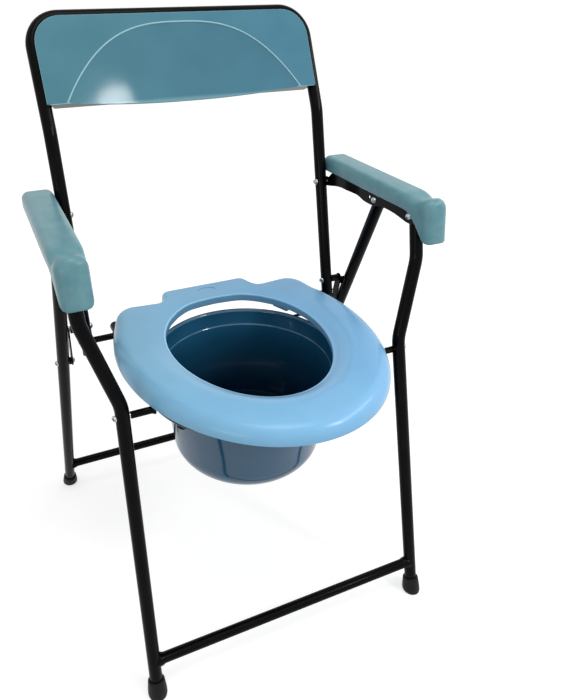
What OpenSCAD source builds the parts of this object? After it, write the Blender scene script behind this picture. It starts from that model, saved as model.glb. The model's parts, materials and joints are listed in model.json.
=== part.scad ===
// Folding commode chair: bent tube frame, arm linkage, moulded seat, back and pan.

/* [Tubes] */
// Outside diameter of the frame tubes
tube_d = 19; // [16:0.5:22]
// Wall of the frame tubes
tube_wall = 1.5; // [1:0.1:2.5]
// Outside diameter of the two cross bars
bar_d = 16; // [12:0.5:18]
// Wall of the cross bars
bar_wall = 1.2; // [0.8:0.1:2]
// Outside diameter of the seat hoop tube
hoop_d = 16; // [14:0.5:18]
// Diameter of the pivot rods beside the seat
rod_d = 10; // [8:0.5:12]
// Diameter of the wire pan rails
rail_d = 5; // [4:0.25:6]
// Diameter of the pivot bolts
bolt_d = 6; // [5:0.25:7]
// Diameter of the bolt heads
head_d = 9.5; // [8:0.25:11]
// Height of the bolt heads
head_h = 2.4; // [1.5:0.1:3.5]

/* [Front legs] */
// Backward lean of the front legs in degrees
front_lean = 13.5; // [8:0.5:18]
// Front feet from the middle of the chair
front_foot_x = 227; // [210:1:245]
// Knee of the front legs from the middle of the chair
knee_x = 212; // [205:1:225]
// Knee along the leg from the floor
knee_l = 458; // [440:1:480]
// Upper bend along the leg from the floor
upper_bend_l = 575; // [560:1:590]
// Arm pivot along the leg from the floor
arm_pivot_l = 637; // [620:1:660]
// Middle of the arms from the middle of the chair
arm_x = 247; // [244:1:256]
// Bend radius of the legs
leg_bend_r = 60; // [40:1:80]
// Height of the front cross bar
front_bar_z = 57; // [45:1:120]

/* [Rear legs] */
// Rear feet from the middle of the chair
rear_foot_x = 265; // [255:1:285]
// Rear feet behind the front feet
rear_foot_y = 503; // [470:1:530]
// Height of the rear cross bar
rear_bar_z = 70; // [55:1:130]
// Link bolt along the rear leg from its arm pivot
link_bolt_l = 247; // [240:1:252]

/* [Arms] */
// Arm pivot to back pivot
arm_len = 210.6; // [200:0.2:222]
// Arm pivot to rear leg pivot
rear_pivot = 84.9; // [78:0.1:92]
// Arm pivot to seat pivot along the front leg
seat_drop = 193.3; // [186:0.1:200]
// Sheet of the arm brackets
bracket_t = 2; // [1.5:0.1:2.5]
// Width of the armrests
armrest_w = 45; // [42:0.5:52]
// Underside of the armrests over the pivots
armrest_low = 8; // [7:0.5:10]
// Top of the armrests over the pivots
armrest_top = 35; // [32:0.5:40]
// Armrest behind the back pivot
armrest_tail = 15; // [12:0.5:20]
// Front face of the armrest nose before the arm pivot
nose_front = 44; // [40:0.5:50]
// Depth of the nose below the pivots
nose_drop = 25; // [20:0.5:30]

/* [Back] */
// Back tubes from the middle of the chair
back_x = 214.7; // [212:0.1:218]
// Back pivot to the bend in the back tubes
back_bend_l = 115; // [105:1:125]
// Further lean above the bend in degrees
back_bend = 12.4; // [8:0.2:16]
// Bend to the middle of the top tube
back_upper_l = 157.9; // [145:0.1:170]
// Corner radius of the back loop
back_corner_r = 42; // [34:1:55]
// Tube below the back pivot
back_tail_l = 213; // [209:0.5:222]
// Link bolt along the back tube from its arm pivot
link_end_l = 170; // [162:0.5:174]
// Sheet of the back panel
panel_t = 3; // [2:0.25:4]
// Lower edge of the back panel above the bend
panel_low = 35; // [26:0.5:44]
// Panel edge to the middle of the back tubes
panel_inset = 2.2; // [1.5:0.1:5]
// Lip turned back along the lower edge of the panel
panel_lip = 15; // [10:0.5:22]
// Edge radius of the hollow in the panel
hollow_r = 210; // [200:1:214]
// Middle of the hollow's edge below the lower edge of the panel
hollow_mid = 101.5; // [95:0.5:110]
// Depth of the hollow at the lower edge
hollow_depth = 28; // [18:0.5:32]

/* [Seat] */
// Seat top above the seat pivots
seat_rise = 33.5; // [31:0.5:38]
// Height of the seat rim
seat_h = 24; // [22:0.5:26]
// Shell of the seat
seat_t = 4; // [3:0.25:5]
// Half width of the seat
seat_w = 192; // [180:1:196]
// Seat half length
seat_l = 247; // [235:1:255]
// Widest place of the seat behind the front feet
seat_mid = 195; // [185:1:205]
// Straight rear edge behind the widest place
seat_rear = 145; // [139:1:150]
// Half width of the hole
hole_w = 115; // [107:1:118]
// Half length of the hole
hole_l = 143; // [136:1:147]
// Middle of the hole before the widest place
hole_shift = 17; // [12:1:22]
// Depth of the front of the hole's edge below the top
hole_drop = 11.5; // [8:0.5:13]
// Widening of the hole towards the rear, as a share
hole_egg = 0.08; // [0:0.01:0.1]
// Length of the rear tab
tab_l = 33; // [24:1:40]
// Half width of the rear tab
tab_w = 85; // [74:1:90]
// Half width of the seat hoop
hoop_w = 163; // [159:1:166]
// Corner radius of the seat hoop
hoop_r = 125; // [105:1:132]
// Front of the seat hoop before the seat pivot
hoop_front = 97; // [90:1:118]
// Hoop tube behind the rear seat pivot
hoop_tail = 30; // [22:1:40]

/* [Pan] */
// Radius of the pan rim
pan_rim_r = 141; // [135:1:144]
// Radius of the pan body below its ledge
pan_top_r = 131; // [125:1:133]
// Radius of the pan floor edge
pan_low_r = 117; // [110:1:120]
// Round between wall and floor of the pan
pan_round = 42; // [30:1:50]
// Depth of the pan below its ledge
pan_depth = 166; // [155:1:170]
// Height of the collar above the ledge
pan_collar = 17; // [15:0.5:17.5]
// Wall of the pan
pan_wall = 2.5; // [2:0.25:3.5]
// Middle of the pan before the widest place of the seat
pan_shift = 5; // [0:1:12]
// Pan ledge below the seat pivots
rail_drop = 18; // [16:0.5:22]
// Front end of the rails before the seat pivot
rail_front = 27; // [20:1:34]
// Rear end of the rails behind the seat pivot
rail_rear = 188; // [180:1:196]

/* [Feet] */
// Diameter of the rubber feet
foot_d = 28.5; // [27:0.5:31]
// Height of the rubber feet
foot_h = 28; // [25:1:36]

/* [Fits] */
// Gap between a running bolt and its hole
run_gap = 0.05; // [0.02:0.01:0.1]
// Gap beside moving tubes and plates
side_gap = 0.5; // [0.3:0.05:1]

/* [Hidden] */
$fn = 64;

tube_r = tube_d / 2;
hole_d = bolt_d + 2 * run_gap;
leg_dir = [sin(front_lean), cos(front_lean)];
a_pt = arm_pivot_l * leg_dir;
d_pt = a_pt - seat_drop * leg_dir;
b_pt = a_pt + [rear_pivot, 0];
c_pt = a_pt + [arm_len, 0];
g_pt = d_pt + [arm_len, 0];
rear_foot = [rear_foot_y, 0];
rear_dir = (rear_foot - b_pt) / norm(rear_foot - b_pt);
rear_lean = atan2(rear_dir[0], -rear_dir[1]);
rear_part = link_bolt_l / norm(rear_foot - b_pt);
e_pt = b_pt + link_bolt_l * rear_dir;
e_x = arm_x + (rear_foot_x - arm_x) * rear_part;
f_pt = c_pt - link_end_l * leg_dir;
upper_lean = front_lean + back_bend;
upper_dir = [sin(upper_lean), cos(upper_lean)];
bend_pt = c_pt + back_bend_l * leg_dir;
top_pt = bend_pt + back_upper_l * upper_dir;
seat_z = d_pt[1] + seat_rise;
seat_low = seat_z - seat_h;
seat_front = seat_mid - seat_l;
rear_edge = rear_foot_y + foot_d / 2 / cos(rear_lean);
mid_y = (seat_front + rear_edge) / 2;
black = [0.06, 0.06, 0.07];
zinc = [0.75, 0.76, 0.78];
teal = [0.42, 0.60, 0.63];
sky = [0.50, 0.69, 0.83];
slate = [0.30, 0.40, 0.48];

// Bent bar along a path, r is the bend radius of every corner or a list of them.
// Straight runs lap into bends that are a hair fuller.
lap = 1.5;
swell = 0.16;
function ang(v) = atan2(v[1], v[0]);
function unit(v) = v / norm(v);
function radius(r, i) = is_list(r) ? r[i] : r;
function turn(p, i) = acos(unit(p[i] - p[i - 1]) * unit(p[i + 1] - p[i]));
function cut(p, i, r) = i == 0 || i == len(p) - 1 ? lap : radius(r, i) * tan(turn(p, i) / 2);
function grown(p, e) = [for (i = [0:len(p) - 1])
  i == 0 ? p[0] - e * unit(p[1] - p[0]) : i == len(p) - 1 ? p[i] + e * unit(p[i] - p[i - 1]) : p[i]];

module bar(path, r, d) {
  p = [for (v = path) [v[0], v[1], len(v) == 3 ? v[2] : 0]];
  n = len(p) - 1;
  for (i = [0:n - 1]) {
    v = unit(p[i + 1] - p[i]);
    rod(p[i] + v * (cut(p, i, r) - lap), p[i + 1] - v * (cut(p, i + 1, r) - lap), d);
  }
  if (n > 1) for (i = [1:n - 1]) {
    u = unit(p[i] - p[i - 1]);
    w = unit(p[i + 1] - p[i]);
    k = radius(r, i);
    x = -unit(w - (w * u) * u);
    z = cross(x, u);
    c = p[i] - u * cut(p, i, r) - x * k;
    multmatrix([[x[0], u[0], z[0], c[0]], [x[1], u[1], z[1], c[1]], [x[2], u[2], z[2], c[2]]])
      rotate_extrude(angle = turn(p, i)) translate([k, 0]) circle(d = d + swell);
  }
}

// Tube along the path, a wall w of 0 gives a solid bar
module pipe(p, r, d, w = 0) {
  difference() {
    bar(p, r, d);
    if (w > 0) bar(grown(p, 1), r, d - 2 * w);
  }
}

module rod(p, q, d) {
  v = q - p;
  translate(p) rotate([0, acos(v[2] / norm(v)), atan2(v[1], v[0])]) cylinder(h = norm(v), d = d);
}

// Rod across the chair at a place given as [y, z]
module across(x0, x1, p, d) {
  translate([x0, p[0], p[1]]) rotate([0, 90, 0]) cylinder(h = x1 - x0, d = d);
}

module chair() {
  translate([0, -mid_y, 0]) children();
}

module both() {
  children();
  mirror([1, 0, 0]) children();
}

// Frame of the front legs: local x across, local y along the leg
module leg_plane() {
  rotate([90 - front_lean, 0, 0]) children();
}

leg_path = [[front_foot_x, 9], [knee_x, knee_l], [arm_x, upper_bend_l], [arm_x, arm_pivot_l + 8]];

module front_leg() {
  difference() {
    leg_plane() pipe(leg_path, leg_bend_r, tube_d, tube_wall);
    across(arm_x - tube_d, arm_x + tube_d, a_pt, hole_d);
    across(knee_x - tube_d, knee_x + tube_d, d_pt, hole_d);
  }
}

module front_leg_left() {
  color(black) chair() mirror([1, 0, 0]) front_leg();
}

module front_leg_right() {
  color(black) chair() front_leg();
}

function leg_x(l) = front_foot_x + (knee_x - front_foot_x) * (l - 9) / (knee_l - 9);
front_bar_l = front_bar_z / cos(front_lean);

module front_cross_bar() {
  p = front_bar_l * leg_dir;
  x = leg_x(front_bar_l);
  color(black) chair() difference() {
    across(-x, x, p, bar_d);
    across(-x - 1, x + 1, p, bar_d - 2 * bar_wall);
    both() leg_plane() pipe([leg_path[0] - [0, 5], leg_path[1], leg_path[2]], leg_bend_r, tube_d);
  }
}

// Rubber foot on a tube that runs from p to q, flat on the floor.
// Rings run up the outside, over the top edge and down to the floor of the socket.
foot_n = 40;

module foot(p, q) {
  v = unit(q - p);
  e = unit(cross([0, 0, 1], v));
  f = cross(v, e);
  bore_r = (tube_r + 0.03) / cos(180 / foot_n);
  dirs = [for (i = [0:foot_n - 1]) cos(360 * i / foot_n) * e + sin(360 * i / foot_n) * f];
  base = [for (d = dirs) p + foot_d / 2 * (d - v * d[2] / v[2])];
  rows = concat([base], [for (k = [[foot_d / 2, foot_h * 0.45], [tube_r + 2.5, foot_h], [bore_r, foot_h], [bore_r, 9]])
    [for (d = dirs) p + k[1] * v + k[0] * d]]);
  m = foot_n;
  polyhedron(points = [for (r = rows) each r], faces = concat([[for (j = [0:m - 1]) j]],
    [for (i = [0:len(rows) - 2], j = [0:m - 1])
      [i * m + j, (i + 1) * m + j, (i + 1) * m + (j + 1) % m, i * m + (j + 1) % m]],
    [[for (j = [m - 1:-1:0]) (len(rows) - 1) * m + j]]));
}

module front_feet() {
  k = [knee_x, knee_l * leg_dir[0], knee_l * leg_dir[1]];
  color(black) chair() both() foot([leg_x(0), 0, 0], k);
}

b_top = [arm_x, b_pt[0], b_pt[1]];
rear_end = [rear_foot_x, rear_foot_y, 0];
rear_v = unit(rear_end - b_top);

module rear_leg() {
  difference() {
    rod(b_top - 8 * rear_v, rear_end - 9 * rear_v, tube_d);
    rod(b_top - 9 * rear_v, rear_end - 8 * rear_v, tube_d - 2 * tube_wall);
    across(arm_x - tube_d, arm_x + tube_d, b_pt, hole_d);
    across(e_x - tube_d, e_x + tube_d, e_pt, hole_d);
  }
}

module rear_leg_left() {
  color(black) chair() mirror([1, 0, 0]) rear_leg();
}

module rear_leg_right() {
  color(black) chair() rear_leg();
}

module rear_cross_bar() {
  p = rear_end + (b_top - rear_end) * rear_bar_z / b_pt[1];
  color(black) chair() difference() {
    across(-p[0], p[0], [p[1], p[2]], bar_d);
    across(-p[0] - 1, p[0] + 1, [p[1], p[2]], bar_d - 2 * bar_wall);
    both() rod(rear_end, b_top, tube_d);
  }
}

module rear_feet() {
  color(black) chair() both() foot(rear_end, b_top);
}

// Arm bracket: pressed channel over the leg tops, its inner flange stepped in to the back tube
in_face = arm_x - tube_r - side_gap;
ear_x = back_x + tube_r + side_gap;
web_low = 13.5;
step_0 = rear_pivot + 40;
step_1 = rear_pivot + 68;
splay = (rear_foot_x - arm_x) / norm(rear_end - b_top);
out_face = arm_x + tube_r + side_gap + splay * (step_0 - rear_pivot + tube_r);

module arm_frame() {
  translate([0, a_pt[0], a_pt[1]]) children();
}

// Extrudes a side view, drawn as [along the arm, up], from x0 to x1
module side_view(x0, x1) {
  translate([x0, 0, 0]) rotate([90, 0, 90]) linear_extrude(x1 - x0) children();
}

module flange_side() {
  difference() {
    union() {
      polygon([[-16, 0], [-16, web_low + bracket_t], [step_0 - 11, web_low + bracket_t], [step_0 - 2, armrest_low - 0.5],
        [arm_len, armrest_low - 0.5], [arm_len, -7], [rear_pivot, -9], [0, -4]]);
      circle(r = 9.5);
      translate([-16, -6]) square([16, 8]);
      translate([rear_pivot, 0]) circle(r = 10.5);
      translate([arm_len, 0]) circle(r = armrest_low - 0.5);
    }
    translate([rear_pivot / 2 + 2, -56]) circle(r = 53, $fn = 128);
    translate([(rear_pivot + arm_len) / 2 + 6, -134]) circle(r = 130, $fn = 128);
    circle(d = hole_d);
    translate([rear_pivot, 0]) circle(d = hole_d);
    translate([rear_pivot + 10, 2]) circle(d = 4);
    translate([arm_len, 0]) circle(d = hole_d);
  }
}

module arm_bracket() {
  arm_frame() {
    intersection() {
      side_view(ear_x - 1, in_face + 1) flange_side();
      translate([0, 0, -30]) linear_extrude(60) polygon([[in_face - bracket_t, -20], [in_face, -20], [in_face, step_0],
        [ear_x + bracket_t, step_1], [ear_x + bracket_t, arm_len + 12], [ear_x, arm_len + 12],
        [ear_x, step_1 - bracket_t / 2], [in_face - bracket_t, step_0 - bracket_t / 2]]);
    }
    intersection() {
      side_view(out_face, out_face + bracket_t) flange_side();
      translate([out_face - 1, -20, -30]) cube([bracket_t + 2, step_0 + 20, 60]);
    }
    translate([in_face - 0.1, -16, web_low]) cube([out_face - in_face + 0.2, step_0 + 5, bracket_t]);
  }
}

module arm_bracket_left() {
  color(black) chair() mirror([1, 0, 0]) arm_bracket();
}

module arm_bracket_right() {
  color(black) chair() arm_bracket();
}

// Armrest: side view, plan and section cut the moulding from three sides
nose_y = -nose_front;
rest_x = back_x + tube_r + side_gap + 0.1;

module armrest_side() {
  difference() {
    union() {
      polygon([[arm_len + armrest_tail, armrest_low], [arm_len + armrest_tail, armrest_top], [nose_y + 16, armrest_top],
        [nose_y, armrest_top - 6], [nose_y - 11, -nose_drop + 6], [nose_y - 6, -nose_drop], [nose_y + 4, -nose_drop],
        [nose_y + 15, -nose_drop * 0.45], [-15, armrest_low - 6], [-2, armrest_low]]);
      translate([nose_y - 5, -nose_drop + 6]) circle(r = 6);
      translate([nose_y + 12, armrest_top - 13]) circle(r = 11.5);
    }
    translate([nose_y + 29, armrest_top + 12]) circle(r = 18);
    difference() {
      translate([nose_y - 14, armrest_top - 12]) square([26, 20]);
      translate([nose_y + 12, armrest_top - 13]) circle(r = 11.5);
      polygon([[nose_y, armrest_top - 12], [nose_y + 30, armrest_top - 14], [nose_y + 12, armrest_top - 2]]);
    }
  }
}

module rounded(w, l, r) {
  translate([r, 0]) square([w - 2 * r, l]);
  translate([0, r]) square([w, l - 2 * r]);
  for (x = [r, w - r], y = [r, l - r]) translate([x, y]) circle(r = r);
}

module armrest() {
  arm_frame() difference() {
    intersection() {
      side_view(rest_x, rest_x + armrest_w) armrest_side();
      translate([rest_x, nose_y - 11, -60]) linear_extrude(120)
        rounded(armrest_w, arm_len + armrest_tail - nose_y + 11, 9);
      translate([rest_x, 300, 0]) rotate([90, 0, 0]) linear_extrude(400)
        translate([0, armrest_top - 90]) rounded(armrest_w, 90, 11);
    }
    translate([in_face - bracket_t - 0.3, -16.3, -60])
      cube([out_face - in_face + 2 * bracket_t + 0.6, step_0 + 16, 60 + web_low + bracket_t]);
  }
}

module armrest_left() {
  color(teal) chair() mirror([1, 0, 0]) armrest();
}

module armrest_right() {
  color(teal) chair() armrest();
}

// Bolt across the chair between two seats, with a round head on each end
module bolt(x0, x1, p) {
  across(x0, x1, p, bolt_d);
  across(x0 - head_h, x0, p, head_d);
  across(x1, x1 + head_h, p, head_d);
}

module arm_bolts() {
  color(zinc) chair() both() {
    bolt(in_face - bracket_t, out_face + bracket_t, a_pt);
    bolt(in_face - bracket_t, out_face + bracket_t, b_pt);
  }
}

// Back loop: up one side, over the top and down the other
function side_pt(x, p) = [x, p[0], p[1]];
back_end = c_pt - back_tail_l * leg_dir;
back_path = concat([for (p = [back_end, bend_pt, top_pt]) side_pt(back_x, p)],
  [for (p = [top_pt, bend_pt, back_end]) side_pt(-back_x, p)]);

module back_tube() {
  color(black) chair() difference() {
    pipe(back_path, [0, 80, back_corner_r, back_corner_r, 80, 0], tube_d, tube_wall);
    both() for (p = [c_pt, f_pt, g_pt]) across(back_x - tube_d, back_x + tube_d, p, hole_d);
  }
}

// Plane of the upper back: x across, y up the back, z to the rear is negative
module upper_plane() {
  translate([0, bend_pt[0], bend_pt[1]]) rotate([90 - upper_lean, 0, 0]) children();
}

panel_w = back_x - panel_inset;
panel_up = back_upper_l - panel_inset;
panel_r = back_corner_r - panel_inset;
panel_z = sqrt(pow((tube_d + swell) / 2, 2) - pow(panel_inset, 2)) + 0.05;

module panel_plan() {
  translate([-panel_w, panel_low]) square([2 * panel_w, panel_up - panel_low - panel_r]);
  translate([-panel_w + panel_r, panel_up - panel_r - 1]) square([2 * (panel_w - panel_r), panel_r + 1]);
  for (s = [-1, 1]) translate([s * (panel_w - panel_r), panel_up - panel_r]) circle(r = panel_r);
}

// The hollow is a ball pressed into the sheet
hollow_h = (pow(hollow_r, 2) - pow(hollow_mid, 2) - pow(hollow_depth, 2)) / (2 * hollow_depth);
hollow_ball = sqrt(pow(hollow_r, 2) + pow(hollow_h, 2));

module back_panel() {
  lip_w = back_x - tube_r - 3;
  at = [0, panel_low - hollow_mid, panel_z + panel_t + hollow_h];
  deep = hollow_depth + 2 * panel_t;
  color(teal) chair() upper_plane() difference() {
    union() {
      translate([0, 0, panel_z]) linear_extrude(panel_t) panel_plan();
      intersection() {
        translate([0, 0, panel_z - deep]) linear_extrude(deep + panel_t / 2) panel_plan();
        translate(at) sphere(r = hollow_ball + panel_t);
      }
      translate([-lip_w, panel_low, panel_z - panel_lip]) cube([2 * lip_w, panel_t, panel_lip + 1]);
    }
    translate(at) sphere(r = hollow_ball);
  }
}

module back_bolts() {
  color(zinc) chair() both() {
    across(back_x - tube_r, ear_x + bracket_t + 0.3, c_pt, bolt_d);
    across(back_x - tube_r - head_h, back_x - tube_r, c_pt, head_d);
    across(ear_x + bracket_t + 0.3, ear_x + bracket_t + 0.3 + head_h, c_pt, head_d);
  }
}

// Link between rear leg and back tube
link_t = 2.5;
link_x1 = e_x - tube_r - 3;
link_x0 = link_x1 - link_t;
link_w = 15;
stop_h = 17;
stop_in = 0.5;
spacer_d = 2 * bolt_d;

module link_studs() {
  color(zinc) chair() both() {
    across(back_x - tube_r, link_x0 - side_gap, f_pt, bolt_d);
    across(back_x - tube_r - head_h, back_x - tube_r, f_pt, head_d);
    difference() {
      across(back_x + tube_r, link_x0 - side_gap - 1, f_pt, spacer_d);
      across(back_x, link_x0, f_pt, bolt_d);
    }
  }
}

module link() {
  v = f_pt - e_pt;
  end_y = v * [cos(rear_lean), sin(rear_lean)];
  stop_y = tube_r + side_gap;
  stop_z = norm(v) - stop_h;
  difference() {
    union() {
      translate([link_x0, e_pt[0], e_pt[1]]) rotate([90, 0, 90]) rotate([0, 0, ang(v)]) linear_extrude(link_t) {
        translate([0, -link_w / 2]) square([norm(v), link_w]);
        circle(d = link_w);
        translate([norm(v), 0]) circle(d = link_w);
      }
      across(link_x1 - 0.1, link_x1 + 2, f_pt, head_d);
      translate([0, e_pt[0], e_pt[1]]) rotate([rear_lean, 0, 0]) {
        translate([link_x0, stop_y, stop_z]) cube([e_x - link_x0, link_t, stop_h]);
        // Ear of the stop, which reaches the link wherever its upper end lies
        translate([link_x0 + stop_in, min(end_y, stop_y), stop_z + stop_in])
          cube([link_t - 2 * stop_in, abs(end_y - stop_y) + link_t, stop_h - 2 * stop_in]);
      }
    }
    across(link_x0 - 1, link_x1 + 1, e_pt, hole_d);
  }
}

module link_left() {
  color(black) chair() mirror([1, 0, 0]) link();
}

module link_right() {
  color(black) chair() link();
}

module link_bolts() {
  color(zinc) chair() both() {
    across(link_x0 - 0.3, e_x + tube_r, e_pt, bolt_d);
    across(e_x + tube_r, e_x + tube_r + head_h, e_pt, head_d);
    across(link_x0 - 0.3 - 1.6, link_x0 - 0.3, e_pt, head_d);
    difference() {
      across(link_x1 + 0.2, e_x - tube_r, e_pt, spacer_d);
      across(link_x1, e_x, e_pt, bolt_d);
    }
  }
}

module back_plugs() {
  color(black) chair() both() translate([back_x, 0, 0]) {
    translate([0, back_end[0], back_end[1]]) rotate([-front_lean, 0, 0]) {
      translate([0, 0, -2.5]) cylinder(h = 2.5, d = tube_d);
      cylinder(h = 9, d = tube_d - 2 * tube_wall - 0.1);
    }
  }
}

// Seat hoop: a U of tube, open to the rear
hoop_rear = arm_len + hoop_tail;
hoop_path = [[hoop_w, hoop_rear], [hoop_w, -hoop_front], [-hoop_w, -hoop_front], [-hoop_w, hoop_rear]];

module seat_frame() {
  translate([0, d_pt[0], d_pt[1]]) children();
}

module seat_hoop() {
  color(black) chair() seat_frame() pipe(hoop_path, hoop_r, hoop_d, bar_wall);
}

module hoop_caps() {
  color(black) chair() seat_frame() both() translate([hoop_w, hoop_rear, 0]) {
    difference() {
      sphere(d = hoop_d);
      translate([-hoop_d, -hoop_d, -hoop_d]) cube([2 * hoop_d, hoop_d, 2 * hoop_d]);
    }
    rotate([90, 0, 0]) cylinder(h = 10, d = hoop_d - 2 * bar_wall - 0.1);
  }
}

front_gap_x = knee_x - tube_r - 0.3;
rear_gap_x = back_x - tube_r - 0.3;

module pivot_rods() {
  color(black) chair() both() difference() {
    union() {
      across(hoop_w, front_gap_x, d_pt, rod_d);
      across(hoop_w, rear_gap_x, g_pt, rod_d);
    }
    seat_frame() pipe(grown(hoop_path, 2), hoop_r, hoop_d);
    across(front_gap_x - 18, front_gap_x + 1, d_pt, hole_d);
    across(rear_gap_x - 18, rear_gap_x + 1, g_pt, hole_d);
  }
}

module pivot_screws() {
  seat_l0 = arm_pivot_l - seat_drop;
  face = leg_x(seat_l0 - head_d / 2) + (tube_d + swell) / 2 + 0.3;
  color(zinc) chair() both() {
    across(front_gap_x - 17, face, d_pt, bolt_d);
    across(face, face + head_h, d_pt, head_d);
    across(rear_gap_x - 17, back_x + tube_r + 0.3, g_pt, bolt_d);
    across(back_x + tube_r + 0.3, back_x + tube_r + 0.3 + head_h, g_pt, head_d);
  }
}

// Wire rails for the pan, turned out and up to the hoop at both ends
rail_x = pan_top_r + 1 + rail_d / 2;
rail_z = -rail_drop - rail_d / 2 - 0.1;
rail_bend = 8;
function hoop_x(y) = let (d = max(0, hoop_r - hoop_front - y)) hoop_w - hoop_r + sqrt(pow(hoop_r, 2) - pow(d, 2));

module pan_rails() {
  color(black) chair() seat_frame() both() difference() {
    union() {
      translate([rail_x, -rail_front, rail_z]) rotate([-90, 0, 0]) cylinder(h = rail_front + rail_rear, d = rail_d);
      for (y = [-rail_front, rail_rear]) translate([0, y, 0]) rotate([90, 0, 0]) {
        end = hoop_x(y) - 3;
        pipe([[rail_x, rail_z], [end, rail_z], [end, 0]], rail_bend, rail_d);
        translate([rail_x, rail_z, 0]) sphere(d = rail_d);
      }
    }
    pipe(hoop_path, hoop_r, hoop_d);
  }
}

// Outline of the seat, from the middle of the front round to the middle of the tab.
// An oval runs into a rounded corner, a straight rear edge, and a tab with rounded corners.
corner_r = 36;
rear_dip = 4;
edge_r = seat_h - 2;
tab_r = 14;
tab_edge_r = 8;
tab_h = 14;
lip_h = 9;
function oval_pt(t, w, l) = [w * sin(t), -l * cos(t)];
function oval_out(t, w, l) = unit([l * sin(t), -w * cos(t)]);
function corner_mid(t) = oval_pt(t, seat_w, seat_l) - corner_r * oval_out(t, seat_w, seat_l);
function corner_t(lo, hi, n) = let (m = (lo + hi) / 2)
  n == 0 ? m : corner_mid(m)[1] < seat_rear - corner_r ? corner_t(m, hi, n - 1) : corner_t(lo, m, n - 1);
last_t = corner_t(80, 160, 30);
corner_c = corner_mid(last_t);
corner_a = ang(oval_out(last_t, seat_w, seat_l));
tab_top = [tab_w - 12, seat_rear + tab_l];

// Arc of k steps at the corner b of the line a, b, c
function rounded_at(a, b, c, r, k) = let (u = unit(a - b), w = unit(c - b), h = acos(u * w) / 2,
  o = b + unit(u + w) * r / sin(h), a0 = ang(b + u * r / tan(h) - o), a1 = ang(b + w * r / tan(h) - o),
  d = a1 - a0 > 180 ? a1 - a0 - 360 : a1 - a0 < -180 ? a1 - a0 + 360 : a1 - a0)
  [for (i = [0:k]) o + r * [cos(a0 + d * i / k), sin(a0 + d * i / k)]];

half = concat(
  [for (i = [0:21]) oval_pt(last_t * i / 22, seat_w, seat_l)],
  [for (i = [0:6]) corner_c + corner_r * [cos(corner_a + (90 - corner_a) * i / 6), sin(corner_a + (90 - corner_a) * i / 6)]],
  rounded_at([corner_c[0], seat_rear], [tab_w, seat_rear - rear_dip], tab_top, 12, 3),
  rounded_at([tab_w, seat_rear - rear_dip], tab_top, [0, tab_top[1]], tab_r, 4),
  [[tab_w * 0.4, tab_top[1]]]);
rim = concat(half, [[0, tab_top[1]]], [for (i = [len(half) - 1:-1:1]) [-half[i][0], half[i][1]]]);
hole_c = [0, -hole_shift];

function rim_at(i) = rim[(i + len(rim)) % len(rim)];
function inward(i) = let (t = unit(rim_at(i + 1) - rim_at(i - 1))) [-t[1], t[0]];
function on_tab(p) = max(0, min(1, (p[1] - seat_rear) / 45 + 1));
function hole_pt(p) = let (v = p - hole_c, q = v / norm([v[0] / hole_w, v[1] / hole_l]))
  hole_c + [q[0] * (1 + hole_egg * q[1] / hole_l), q[1]];
function sunk(m) = hole_drop * sqrt((1 - m[1]) / 2);
function up(p, z) = [p[0], p[1], z];

// Section of the seat at one place of its outline: rim, top, lip of the hole, underside
function section(i) = let (p = rim_at(i), n = inward(i), k = on_tab(p), q = hole_pt(p), m = unit(q - hole_c),
  r = edge_r + (tab_edge_r - edge_r) * k, low = seat_low + (seat_h - tab_h) * k, in = r - seat_t,
  d = sunk(m), slope = [[30, 0.06], [16, 0.42]]) concat(
  [up(p, low)],
  [for (a = [0:22.5:90]) up(p + n * r * (1 - cos(a)), seat_z - r + r * sin(a))],
  [for (t = slope) up(q + m * t[0], seat_z - d * t[1])],
  [up(q + m * 3, seat_z - d), up(q + m * 0.9, seat_z - d - 0.9), up(q, seat_z - d - 3), up(q, seat_z - d - lip_h),
    up(q + m * seat_t, seat_z - d - lip_h), up(q + m * seat_t, seat_z - d - seat_t)],
  [for (t = [slope[1], slope[0]]) up(q + m * t[0], seat_z - seat_t - d * t[1])],
  [for (a = [90:-22.5:0]) up(p + n * (r - in * cos(a)), seat_z - r + in * sin(a))],
  [up(p + n * seat_t, low)]);

module seat_shell() {
  rows = [for (i = [0:len(rim) - 1]) section(i)];
  m = len(rows[0]);
  n = len(rows);
  polyhedron(points = [for (r = rows) each r], faces = [for (i = [0:n - 1], j = [0:m - 1])
    let (a = i * m + j, b = i * m + (j + 1) % m, c = (i + 1) % n * m + (j + 1) % m, d = (i + 1) % n * m + j)
    each [[a, b, c], [a, c, d]]]);
}

module seat() {
  color(sky) chair() difference() {
    union() {
      translate([0, seat_mid, 0]) seat_shell();
      for (s = [-1, 1], y = [d_pt[0] + 40, g_pt[0] - 40])
        translate([s * hoop_w - hoop_d * 0.65, y - 9, seat_low - 9]) cube([hoop_d * 1.3, 18, seat_h + 9 - 1.5]);
    }
    translate([0, d_pt[0], d_pt[1]]) both() {
      translate([hoop_w, -20, 0]) rotate([-90, 0, 0]) cylinder(h = arm_len + 40, d = hoop_d + 0.1, $fn = 32);
      translate([hoop_w - hoop_d * 0.42, -20, -20]) cube([hoop_d * 0.84, arm_len + 40, 17]);
    }
  }
}

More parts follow.
